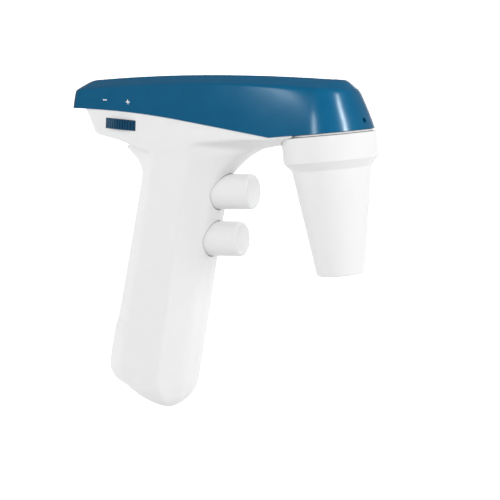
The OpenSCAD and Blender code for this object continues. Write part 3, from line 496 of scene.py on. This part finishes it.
def remeshed(piece, voxel, rounds):
    """Fuses a solid into one even skin and evens its surface out."""
    step = piece.modifiers.new("remesh", "REMESH")
    step.mode = "VOXEL"
    step.voxel_size = voxel * MM
    step.use_smooth_shade = True
    apply(piece)
    step = piece.modifiers.new("smooth", "SMOOTH")
    step.factor = 0.5
    step.iterations = rounds
    return apply(piece)


def tilted(at, turn):
    """Place of a local frame whose +Z is turned in the XZ plane, in degrees from +Z to +X."""
    return Matrix.Translation(at) @ Matrix.Rotation(math.radians(turn), 4, "Y")


def door_block(name, grow):
    """The space behind the grip that the battery door takes up, grown on every side."""
    drop_z = DOOR_TOP_Z - DOOR_LOW_Z
    outline = [
        (-150, DOOR_TOP_Z + grow),
        (DOOR_TOP_X + grow, DOOR_TOP_Z + grow),
        (DOOR_TOP_X + grow - DOOR_SLOPE * (drop_z + 2 * grow), DOOR_LOW_Z - grow),
        (-150, DOOR_LOW_Z - grow),
    ]
    return prism(name, outline, 30)


# ---- white body: two shells and the battery door -------------------------


def eased(v):
    """A smooth step from 0 to 1 as v goes from 0 to 1."""
    v = min(1.0, max(0.0, v))
    return v * v * (3 - 2 * v)


def swollen(skin):
    """The lower back stands out a little where the battery door lies.

    The swelling fades out over 6 mm across the door's top, 8 mm below its foot and 7 mm across
    its front.
    """
    swell = skin.vertex_groups.new(name="swell")
    for v in skin.data.vertices:
        x, z = v.co.x / MM, v.co.z / MM
        behind = DOOR_TOP_X - DOOR_SLOPE * (DOOR_TOP_Z - z) - x
        weight = eased((DOOR_TOP_Z + 2 - z) / 6)
        weight *= eased((z - DOOR_LOW_Z + 8) / 8)
        weight *= eased((behind + 3) / 7)
        if weight > 0:
            swell.add([v.index], weight, "REPLACE")
    step = skin.modifiers.new("swell", "DISPLACE")
    step.strength = DOOR_PROUD * MM
    step.mid_level = 0
    step.vertex_group = "swell"
    apply(skin)
    skin.vertex_groups.clear()
    return skin


def body_skin():
    """The outside of the handle and the head's lower part, fused and softened.

    The neck, where they meet, is smoothed far more than the rest.
    """
    skin = loft("body_skin", tub_rings(0))
    boolean(skin, loft("grip_skin", grip_rings(0)), "UNION")
    remeshed(skin, VOXEL, 8)
    neck = skin.vertex_groups.new(name="neck")
    neck_z, neck_reach = 68, 9
    for v in skin.data.vertices:
        x, z = v.co.x / MM, v.co.z / MM
        across = min(1.0, max(0.0, (x + 136) / 12)) * min(1.0, max(0.0, (-34 - x) / 10))
        weight = max(0.0, 1 - abs(z - neck_z) / neck_reach) * across
        if weight > 0:
            neck.add([v.index], weight, "REPLACE")
    step = skin.modifiers.new("smooth", "SMOOTH")
    step.factor = 0.5
    step.iterations = 90
    step.vertex_group = "neck"
    apply(skin)
    skin.vertex_groups.clear()
    return swollen(skin)


def under_cover(name, gap):
    """Everything below the cover's edge."""
    xs = np.linspace(-160, 30, 96)
    outline = [(x, edge_z(x) - gap) for x in xs] + [(30, -100), (-160, -100)]
    return prism(name, outline, 40)


def body_hollow():
    """The room inside the shells."""
    hollow = loft("body_hollow", tub_rings(WALL))
    return boolean(hollow, loft("grip_hollow", grip_rings(WALL)), "UNION")


def openings():
    """Every cut through both shells. Each reaches well past the wall that it goes through."""
    cuts = []
    for i, button in enumerate(BUTTONS):
        place = tilted(button["face"], 90 + BUTTON_TILT)
        radius, low = BUTTON_R + BUTTON_GAP, -button["length"] - 6
        cuts.append(rod(f"button_cut_{i}", radius, low, 14, place, 96))
    slot = WHEEL_H / 2 + WHEEL_GAP
    cuts.append(rod("wheel_cut", WHEEL_R + 0.15, -slot, slot, tilted(WHEEL_AT, WHEEL_TILT), 128))
    cuts.append(rod("cone_cut", COLLAR_R + REVEAL, -1, 119, steps=128))
    cuts.append(rod("inlet_cut", INLET_R, -12, 8, tilted(INLET_AT, -INLET_TURN)))
    cuts.append(door_block("door_cut", DOOR_GAP))
    return cuts


def build_body():
    """Both shells, with their bosses and openings, and the battery door."""
    skin = body_skin()
    hollow = body_hollow()

    door = copy_of(skin, "door_panel")
    boolean(door, door_block("door_space", 0), "INTERSECT")
    boolean(door, hollow, "DIFFERENCE", keep=True)

    inside = copy_of(skin, "boss_limit")
    step = inside.modifiers.new("inset", "DISPLACE")
    step.strength = -1 * MM
    step.mid_level = 0
    apply(inside)

    boolean(skin, under_cover("under_cover", COVER_GAP), "INTERSECT")
    boolean(skin, hollow, "DIFFERENCE")
    for cut in openings():
        boolean(skin, cut, "DIFFERENCE")

    shells = {}
    for name, side in (("shell_right", -1), ("shell_left", 1)):
        shell = copy_of(skin, name)
        y_low, y_high = sorted((side * SEAM, side * 60))
        boolean(shell, block("half_space", (-200, y_low, -100), (60, y_high, 140)), "INTERSECT")
        sideways = Matrix.Rotation(math.radians(-90 * side), 4, "X")
        for x, z in SCREWS:
            place = Matrix.Translation((x, side * SEAM, z)) @ sideways
            boss = rod("boss", BOSS_R, 0, 18, place, 48)
            boolean(boss, inside, "INTERSECT", keep=True)
            boolean(shell, boss, "UNION")
            if side > 0:
                boolean(shell, rod("head_cut", SCREW_HEAD_R, 6, 36, place, 48), "DIFFERENCE")
                boolean(shell, rod("shank_cut", SCREW_SHANK_R, -1, 8, place, 32), "DIFFERENCE")
        shells[name] = smooth_shaded(shell)
    drop(skin, inside)
    return shells["shell_right"], shells["shell_left"], smooth_shaded(door)


shell_right, shell_left, door_panel = build_body()
for piece, node in ((shell_right, "handle_shell_right"), (shell_left, "handle_shell_left")):
    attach(piece, "handle")
    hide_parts(node)
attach(door_panel, "battery_door")
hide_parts("battery_door")


# ---- cover, with its window and marks ------------------------------------

WINDOW_TOP = crown_z(WINDOW_X) + 0.35
WINDOW_SLOPE = math.degrees(math.atan2(crown_z(WINDOW_X - 1) - crown_z(WINDOW_X + 1), 2))
WINDOW_PLACE = tilted((WINDOW_X, 0, WINDOW_TOP), WINDOW_SLOPE)


def oblong(name, length, radius, low, high, place, edge=0.0, steps=24):
    """A bar with round ends; edge rounds its upper rim."""
    levels = [(0.0, low), (0.0, high)]
    if edge:
        levels.pop()
        for a in (math.radians(15 * k) for k in range(7)):
            levels.append((edge * (1 - math.cos(a)), high - edge * (1 - math.sin(a))))
    half_turn = np.linspace(-math.pi / 2, math.pi / 2, steps)
    rings = []
    for inset, z in levels:
        r = radius - inset
        half = length / 2 - radius
        ring = [(half + r * math.cos(a), r * math.sin(a), z) for a in half_turn]
        ring += [(-half - r * math.cos(a), -r * math.sin(a), z) for a in half_turn]
        rings.append(ring)
    count = len(rings[0])
    points = [tuple(place @ Vector(p)) for ring in rings for p in ring]
    caps = [tuple(range(count)), tuple(range(len(points) - count, len(points)))]
    return outward(add_mesh(name, points, caps + walls(len(rings), count)))


def build_cover():
    """The hollow cover, with the window's opening and the small hole in its nose."""
    cover = loft("cover", cover_rings(0))
    boolean(cover, loft("cover_hollow", cover_rings(WALL)), "DIFFERENCE")
    length, radius = WINDOW_LENGTH + 2 * WINDOW_GAP, WINDOW_R + WINDOW_GAP
    boolean(cover, oblong("window_cut", length, radius, -10, 10, WINDOW_PLACE), "DIFFERENCE")
    vent = Matrix.Rotation(math.radians(VENT_TURN), 4, "Z") @ tilted((15, 0, VENT_Z), 90)
    boolean(cover, rod("vent_cut", VENT_R, 0, 20, vent, 48), "DIFFERENCE")
    return smooth_shaded(cover, 24)


cover = build_cover()
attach(cover, "handle")
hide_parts("top_cover")

window = oblong("window_lens", WINDOW_LENGTH, WINDOW_R, -2.5, 0, WINDOW_PLACE, edge=0.35)
smooth_shaded(window, 40)
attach(window, "handle")
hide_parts("status_window")


# ---- buttons, cone -------------------------------------------------------


def build_button(button):
    """A hollow cap with a dished face, a rounded rim and the flange that keeps it in."""
    dish_r, dish_depth, dish_power, dish_edge, rim = 7.4, 2.1, 1.2, 0.1, 1.5
    back = -button["length"]
    bore_r, core_r, core_bore_r = 7.2, 3.2, 1.5
    dish = []
    for r in np.linspace(0, dish_r, 14):
        dish.append((r, -dish_depth * (1 - (r / dish_r) ** 2) ** dish_power - dish_edge))
    quarter = np.radians(np.linspace(90, 0, 9))
    arc = [(BUTTON_R - rim + rim * math.cos(a), -rim + rim * math.sin(a)) for a in quarter]
    profile = dish + arc + [
        (BUTTON_R, back),
        (FLANGE_R, back),
        (FLANGE_R, back - FLANGE_H),
        (bore_r, back - FLANGE_H),
        (bore_r, SPRING_HIGH),
        (core_r, SPRING_HIGH),
        (core_r, back + 3),
        (core_bore_r, back + 3),
        (core_bore_r, -8),
        (0, -8),
    ]
    place = tilted(button["face"], 90 + BUTTON_TILT)
    return smooth_shaded(lathe(f"{button['node']}_cap", profile, place, 128), 40)


button_caps = [build_button(button) for button in BUTTONS]
for cap, button in zip(button_caps, BUTTONS):
    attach(cap, button["node"])
    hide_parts(button["node"])


def build_spring(button):
    """The return spring behind a button, which shortens as the button is pressed."""
    around_turn, around_wire = 36, 12
    low = -(button["length"] + FLANGE_H + BUTTON_TRAVEL + SPRING_SEAT)
    place = tilted(button["face"], 90 + BUTTON_TILT)
    start, end = low + SPRING_WIRE + SPRING_PLAY, SPRING_HIGH - SPRING_WIRE - SPRING_PLAY
    count = SPRING_TURNS * around_turn + 1
    points = []
    for k in range(count):
        turn = 2 * math.pi * k / around_turn
        rise = start + (end - start) * k / (count - 1)
        for wire in np.linspace(0, 2 * math.pi, around_wire, endpoint=False):
            r = SPRING_R + SPRING_WIRE * math.cos(wire)
            z = rise + SPRING_WIRE * math.sin(wire)
            points.append(place @ Vector((r * math.cos(turn), r * math.sin(turn), z)))
    caps = [tuple(range(around_wire)), tuple(range(len(points) - around_wire, len(points)))]
    node = button["node"].replace("button", "spring")
    coil = add_mesh(f"{node}_coil", points, caps + walls(count, around_wire))
    smooth_shaded(outward(coil), 60)
    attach(coil, "handle")
    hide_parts(node)
    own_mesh(coil)
    return coil


springs = [build_spring(button) for button in BUTTONS]


def cone_bore_r(z):
    """Radius of the cone's tapered bore."""
    return 9.5 + 6.7 * z / 52


def build_cone():
    """The hollow cone with its collar: threaded socket, room for the filter, tapered bore."""
    mouth_r, shoulder_r = 11.9, 19.8
    collar_h, shoulder_h = 12.4, 4.2
    thread_r, thread_low = 20.5, 57.3
    room_r, room_low = 16.6, 41
    collar_low = CONE_H - collar_h
    profile = [
        (cone_bore_r(0), 0),
        (mouth_r, 0),
        (shoulder_r, collar_low - shoulder_h),
        (COLLAR_R, collar_low),
        (COLLAR_R, CONE_H),
        (thread_r, CONE_H),
        (thread_r, thread_low),
        (room_r, thread_low),
        (room_r, room_low),
        (cone_bore_r(room_low), room_low),
    ]
    profile = fillet(profile, {1: 1.4, 2: 0.9, 3: 0.7, 4: 0.5})
    return smooth_shaded(lathe("cone_skin", profile, steps=192), 40)


cone = build_cone()
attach(cone, "cone")
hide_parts("adapter_housing")


# ---- materials -----------------------------------------------------------

BLOTCH_MM = 9.0
GLOSS_SPREAD = 0.03


def new_material(name):
    made = bpy.data.materials.new(name)
    made.use_nodes = True
    return made, made.node_tree.nodes, made.node_tree.links


def noise(nodes, links, coords, size_mm, detail=2.0):
    made = nodes.new("ShaderNodeTexNoise")
    made.inputs["Scale"].default_value = 1 / (size_mm * MM)
    made.inputs["Detail"].default_value = detail
    links.new(coords.outputs["Object"], made.inputs["Vector"])
    return made


def ramp(nodes, links, source, low, high, at=(0.3, 0.7)):
    made = nodes.new("ShaderNodeValToRGB")
    made.color_ramp.elements[0].color = (*low, 1)
    made.color_ramp.elements[1].color = (*high, 1)
    made.color_ramp.elements[0].position, made.color_ramp.elements[1].position = at
    links.new(source, made.inputs["Fac"])
    return made


def shades(color, spread):
    return [tuple(min(1, c * k) for c in color) for k in (1 - spread, 1 + spread)]


def textured(name, color, rough, grain_mm, grain_depth, spread=0.03, **sockets):
    """A moulded or machined surface: fine grain in its height, slow changes in tone and gloss."""
    made, nodes, links = new_material(name)
    shader = nodes["Principled BSDF"]
    coords = nodes.new("ShaderNodeTexCoord")
    slow = noise(nodes, links, coords, BLOTCH_MM)
    tone = ramp(nodes, links, slow.outputs["Fac"], *shades(color, spread))
    links.new(tone.outputs["Color"], shader.inputs["Base Color"])
    gloss = nodes.new("ShaderNodeMapRange")
    gloss.inputs["To Min"].default_value = rough - GLOSS_SPREAD
    gloss.inputs["To Max"].default_value = rough + GLOSS_SPREAD
    links.new(slow.outputs["Fac"], gloss.inputs["Value"])
    links.new(gloss.outputs["Result"], shader.inputs["Roughness"])
    fine = noise(nodes, links, coords, grain_mm, 1.0)
    bump = nodes.new("ShaderNodeBump")
    bump.inputs["Strength"].default_value = 1.0
    bump.inputs["Distance"].default_value = grain_depth * MM
    links.new(fine.outputs["Fac"], bump.inputs["Height"])
    links.new(bump.outputs["Normal"], shader.inputs["Normal"])
    for socket, value in sockets.items():
        shader.inputs[socket.replace("_", " ")].default_value = value
    return made


def circuit_board(name):
    """Solder mask with paler tracks under it."""
    made = textured(name, (0.03, 0.2, 0.09), 0.35, 0.6, 0.01)
    nodes, links = made.node_tree.nodes, made.node_tree.links
    shader = nodes["Principled BSDF"]
    coords = nodes.new("ShaderNodeTexCoord")
    tracks = nodes.new("ShaderNodeTexBrick")
    tracks.inputs["Scale"].default_value = 260
    tracks.inputs["Color1"].default_value = (0.02, 0.17, 0.07, 1)
    tracks.inputs["Color2"].default_value = (0.03, 0.2, 0.09, 1)
    tracks.inputs["Mortar"].default_value = (0.1, 0.36, 0.16, 1)
    tracks.inputs["Mortar Size"].default_value = 0.05
    links.new(coords.outputs["Object"], tracks.inputs["Vector"])
    links.new(tracks.outputs["Color"], shader.inputs["Base Color"])
    return made


WHITE = (0.80, 0.80, 0.80)
SATIN = {"Specular_IOR_Level": 0.25}
COVER_BLUE = (0.0, 0.064, 0.14)
COVER_SHEEN = {"Specular_IOR_Level": 0.32, "Specular_Tint": (0.8, 0.93, 1.0, 1)}
WHEEL_SHEEN = {"Specular_Tint": (0.6, 0.85, 1.0, 1)}

# slot: (colour, roughness, grain in mm, grain depth in mm, spread of tone, more settings)
PLAIN_LOOKS = {
    "white_shell": (WHITE, 0.5, 0.5, 0.003, 0.006, SATIN),
    "white_button": (WHITE, 0.45, 0.5, 0.002, 0.006, SATIN),
    "white_cone": (WHITE, 0.5, 0.5, 0.003, 0.006, SATIN),
    "white_spigot": (WHITE, 0.5, 0.5, 0.003, 0.006, SATIN),
    "blue_cover": (COVER_BLUE, 0.235, 0.45, 0.004, 0.03, COVER_SHEEN),
    "blue_wheel": ((0.0, 0.045, 0.105), 0.36, 0.4, 0.004, 0.04, WHEEL_SHEEN),
    "clear_window": ((0.008, 0.02, 0.03), 0.12, 0.8, 0.001, 0.02, {"Coat_Weight": 0.5}),
    "lamp": ((0.85, 0.85, 0.55), 0.3, 0.3, 0.002, 0.03, {}),
    "black_plastic": ((0.03, 0.03, 0.033), 0.45, 0.4, 0.004, 0.08, {}),
    "ivory_plastic": ((0.70, 0.68, 0.60), 0.42, 0.5, 0.004, 0.03, {}),
    "steel": ((0.60, 0.61, 0.63), 0.28, 0.25, 0.002, 0.05, {"Metallic": 1.0}),
    "brass": ((0.75, 0.55, 0.25), 0.28, 0.25, 0.002, 0.05, {"Metallic": 1.0}),
    "copper": ((0.72, 0.36, 0.2), 0.34, 0.3, 0.003, 0.08, {"Metallic": 1.0}),
    "magnet": ((0.09, 0.09, 0.1), 0.5, 0.4, 0.006, 0.08, {}),
    "black_rubber": ((0.02, 0.02, 0.02), 0.65, 0.4, 0.006, 0.1, {"Sheen_Weight": 0.1}),
    "silicone": ((0.76, 0.76, 0.73), 0.55, 0.5, 0.004, 0.02, {"Subsurface_Weight": 0.2}),
    "clear_hose": ((0.70, 0.73, 0.74), 0.3, 0.8, 0.002, 0.03, {"Transmission_Weight": 0.5}),
    "red_lead": ((0.45, 0.02, 0.015), 0.4, 0.5, 0.004, 0.05, {}),
    "black_lead": ((0.02, 0.02, 0.02), 0.4, 0.5, 0.004, 0.05, {}),
    "filter_white": ((0.78, 0.79, 0.81), 0.35, 0.4, 0.003, 0.02, {}),
    "valve_blue": ((0.06, 0.16, 0.45), 0.35, 0.4, 0.003, 0.03, {}),
    "cell_wrap": ((0.02, 0.12, 0.35), 0.25, 0.6, 0.003, 0.04, {"Coat_Weight": 0.4}),
}
materials = {slot: textured(slot, *look[:-1], **look[-1]) for slot, look in PLAIN_LOOKS.items()}
materials["circuit_board"] = circuit_board("circuit_board")


def dress(piece, slot):
    piece.data.materials.clear()
    piece.data.materials.append(materials[slot])


for entry in frame["record"]["subparts"]:
    dress(frame["nodes"][entry["node"]], entry["material_slot"])
for piece in (shell_right, shell_left, door_panel):
    dress(piece, "white_shell")
dress(cover, "blue_cover")
dress(window, "clear_window")
dress(cone, "white_cone")
for cap in button_caps:
    dress(cap, "white_button")
for coil in springs:
    dress(coil, "steel")


# ---- the marks beside the wheel ------------------------------------------

MARK_PROUD = 0.03
MARK_LENGTH = 2.4
MARK_WIDTH = 0.55


def mark(name, at, strokes, side):
    """A thin mark printed on the cover's side, laid on its surface."""
    tree = BVHTree.FromObject(cover, bpy.context.evaluated_depsgraph_get())
    points, faces = [], []
    for length, height in strokes:
        start = len(points)
        columns = np.linspace(-length / 2, length / 2, 7)
        rows = np.linspace(-height / 2, height / 2, 3)
        for dz in rows:
            for dx in columns:
                x, z = at[0] + dx, at[1] + dz - 0.12 * dx
                outside = Vector((x, side * 60, z)) * MM
                hit, normal, _, _ = tree.ray_cast(outside, Vector((0, -side, 0)))
                points.append(tuple(hit / MM + normal * MARK_PROUD))
        for r in range(len(rows) - 1):
            for c in range(len(columns) - 1):
                a = start + r * len(columns) + c
                faces.append((a, a + 1, a + 1 + len(columns), a + len(columns)))
    piece = add_mesh(name, points, faces)
    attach(piece, "handle")
    dress(piece, "white_button")


for side, label in ((-1, "right"), (1, "left")):
    level, upright = (MARK_LENGTH, MARK_WIDTH), (MARK_WIDTH, MARK_LENGTH)
    mark(f"minus_{label}", (-116.5, 97.4), [level], side)
    mark(f"plus_{label}", (-102.5, 95.1), [level, upright], side)


# ---- camera, light, floor ------------------------------------------------

# The camera's angles, what it looks at and how far off it stands, in millimetres.
VIEW_AZIMUTH, VIEW_ELEVATION, VIEW_ROLL = 28, 6, 5.3
VIEW_TARGET = (-49.73, 0, 13.68)
VIEW_DISTANCE = 644.9


def set_camera():
    az, el, roll = (math.radians(a) for a in (VIEW_AZIMUTH, VIEW_ELEVATION, VIEW_ROLL))
    back = Vector((math.sin(az) * math.cos(el), -math.cos(az) * math.cos(el), math.sin(el)))
    flat_right = Vector((math.cos(az), math.sin(az), 0))
    flat_up = back.cross(flat_right)
    right = flat_right * math.cos(roll) - flat_up * math.sin(roll)
    up = flat_right * math.sin(roll) + flat_up * math.cos(roll)
    data = bpy.data.cameras.new("camera")
    data.lens = 90
    data.sensor_width = 36
    data.clip_end = 50
    camera = bpy.data.objects.new("camera", data)
    bpy.context.scene.collection.objects.link(camera)
    at = Vector(VIEW_TARGET) * MM + back * VIEW_DISTANCE * MM
    turn = Matrix((right, up, back)).transposed().to_4x4()
    camera.matrix_world = Matrix.Translation(at) @ turn
    bpy.context.scene.camera = camera


def around(azimuth, elevation, distance):
    """A place at an azimuth counted from -Y towards +X, an elevation and a distance."""
    az, el = math.radians(azimuth), math.radians(elevation)
    flat = math.cos(el)
    return Vector((math.sin(az) * flat, -math.cos(az) * flat, math.sin(el))) * distance


def softbox(name, azimuth, elevation, distance, size, radiance):
    """A rectangular light of even brightness, aimed at the middle of the object."""
    centre = Vector((-0.04, 0, 0.05))
    at = around(azimuth, elevation, distance)
    data = bpy.data.lights.new(name, "AREA")
    data.shape = "RECTANGLE"
    data.size, data.size_y = size
    data.energy = radiance * math.pi * size[0] * size[1]
    lamp = bpy.data.objects.new(name, data)
    lamp.location = centre + at
    lamp.rotation_euler = (-at).to_track_quat("-Z", "Y").to_euler()
    bpy.context.scene.collection.objects.link(lamp)
    return lamp


WORLD_GLOW = 0.32
FRONT_GLOW = 0.2
BACK_GLOW = 0.9
# The glow grows over this distance, in metres, from the middle towards the far side.
GLOW_REACH = 0.18
FLOOR_Z = -0.17
FLOOR_R = 1.2
SWEEP_R = 0.6
WALL_TOP = 2.0


def floor_paper():
    """Pale paper that glows more towards the far side."""
    paper = textured("floor_paper", (0.5, 0.5, 0.5), 0.8, 3.0, 0.01, 0.004)
    nodes, links = paper.node_tree.nodes, paper.node_tree.links
    coords = nodes.new("ShaderNodeTexCoord")
    along = nodes.new("ShaderNodeVectorMath")
    along.operation = "DOT_PRODUCT"
    along.inputs[1].default_value = around(VIEW_AZIMUTH + 180, 0, 1)
    glow = nodes.new("ShaderNodeMapRange")
    glow.inputs["From Min"].default_value = 0.0
    glow.inputs["From Max"].default_value = GLOW_REACH
    glow.inputs["To Min"].default_value = FRONT_GLOW
    glow.inputs["To Max"].default_value = BACK_GLOW
    shader = nodes["Principled BSDF"]
    shader.inputs["Emission Color"].default_value = (1, 1, 1, 1)
    links.new(coords.outputs["Object"], along.inputs[0])
    links.new(along.outputs["Value"], glow.inputs["Value"])
    links.new(glow.outputs["Result"], shader.inputs["Emission Strength"])
    return paper


def set_stage():
    """A pale floor well below the object, sweeping up into a backdrop on every side."""
    profile = [(FLOOR_R, 0)]
    for a in np.radians(np.linspace(10, 90, 9)):
        profile.append((FLOOR_R + SWEEP_R * math.sin(a), SWEEP_R - SWEEP_R * math.cos(a)))
    profile.append((FLOOR_R + SWEEP_R, WALL_TOP))
    steps = 64
    points = [(0, 0, FLOOR_Z / MM)]
    for radius, height in profile:
        for a in np.linspace(0, 2 * math.pi, steps, endpoint=False):
            z = FLOOR_Z + height
            points.append((radius * math.cos(a) / MM, radius * math.sin(a) / MM, z / MM))
    faces = [(0, 1 + i, 1 + (i + 1) % steps) for i in range(steps)]
    faces += walls(len(profile), steps, first=1)
    floor = add_mesh("floor", points, faces)
    for face in floor.data.polygons:
        face.use_smooth = True
    floor.data.materials.append(floor_paper())
    return floor


# Name: azimuth, elevation, distance, (width, height) and radiance.
BODY_LIGHTS = {
    "body_front": (29, 20, 1.3, (1.2, 0.7), 3.2),
    "body_right": (93, -4, 0.9, (0.2, 0.3), 9),
    "body_left": (-60, -3, 1.1, (0.45, 0.36), 3),
}
COVER_LIGHTS = {
    "cover_front": (38, -8, 0.8, (0.7, 0.2), 7.5),
    "cover_left": (-9, 16, 0.9, (0.11, 0.4), 28),
    "cover_right": (70, 24, 0.9, (0.06, 0.42), 95),
    "cover_back": (200, 12, 1.1, (0.7, 0.4), 4),
}


def receivers(name, state):
    """A light's group of receivers: the cover alone, or all but the cover."""
    group = bpy.data.collections.new(name)
    group.objects.link(cover)
    group.collection_objects[0].light_linking.link_state = state
    return group


def set_light(floor):
    """Body and cover have their own lights, so that each gets the sheen it needs."""
    world = bpy.data.worlds.new("studio")
    world.use_nodes = True
    bpy.context.scene.world = world
    sky = world.node_tree.nodes["Background"]
    sky.inputs["Color"].default_value = (1, 1, 1, 1)
    sky.inputs["Strength"].default_value = WORLD_GLOW
    body = receivers("all_but_cover", "EXCLUDE")
    floor.light_linking.receiver_collection = body
    for name, setting in BODY_LIGHTS.items():
        softbox(name, *setting).light_linking.receiver_collection = body
    cover_only = receivers("cover_only", "INCLUDE")
    for name, setting in COVER_LIGHTS.items():
        softbox(name, *setting).light_linking.receiver_collection = cover_only


set_camera()
stage = set_stage()
set_light(stage)
bpy.context.scene.view_settings.view_transform = "Standard"
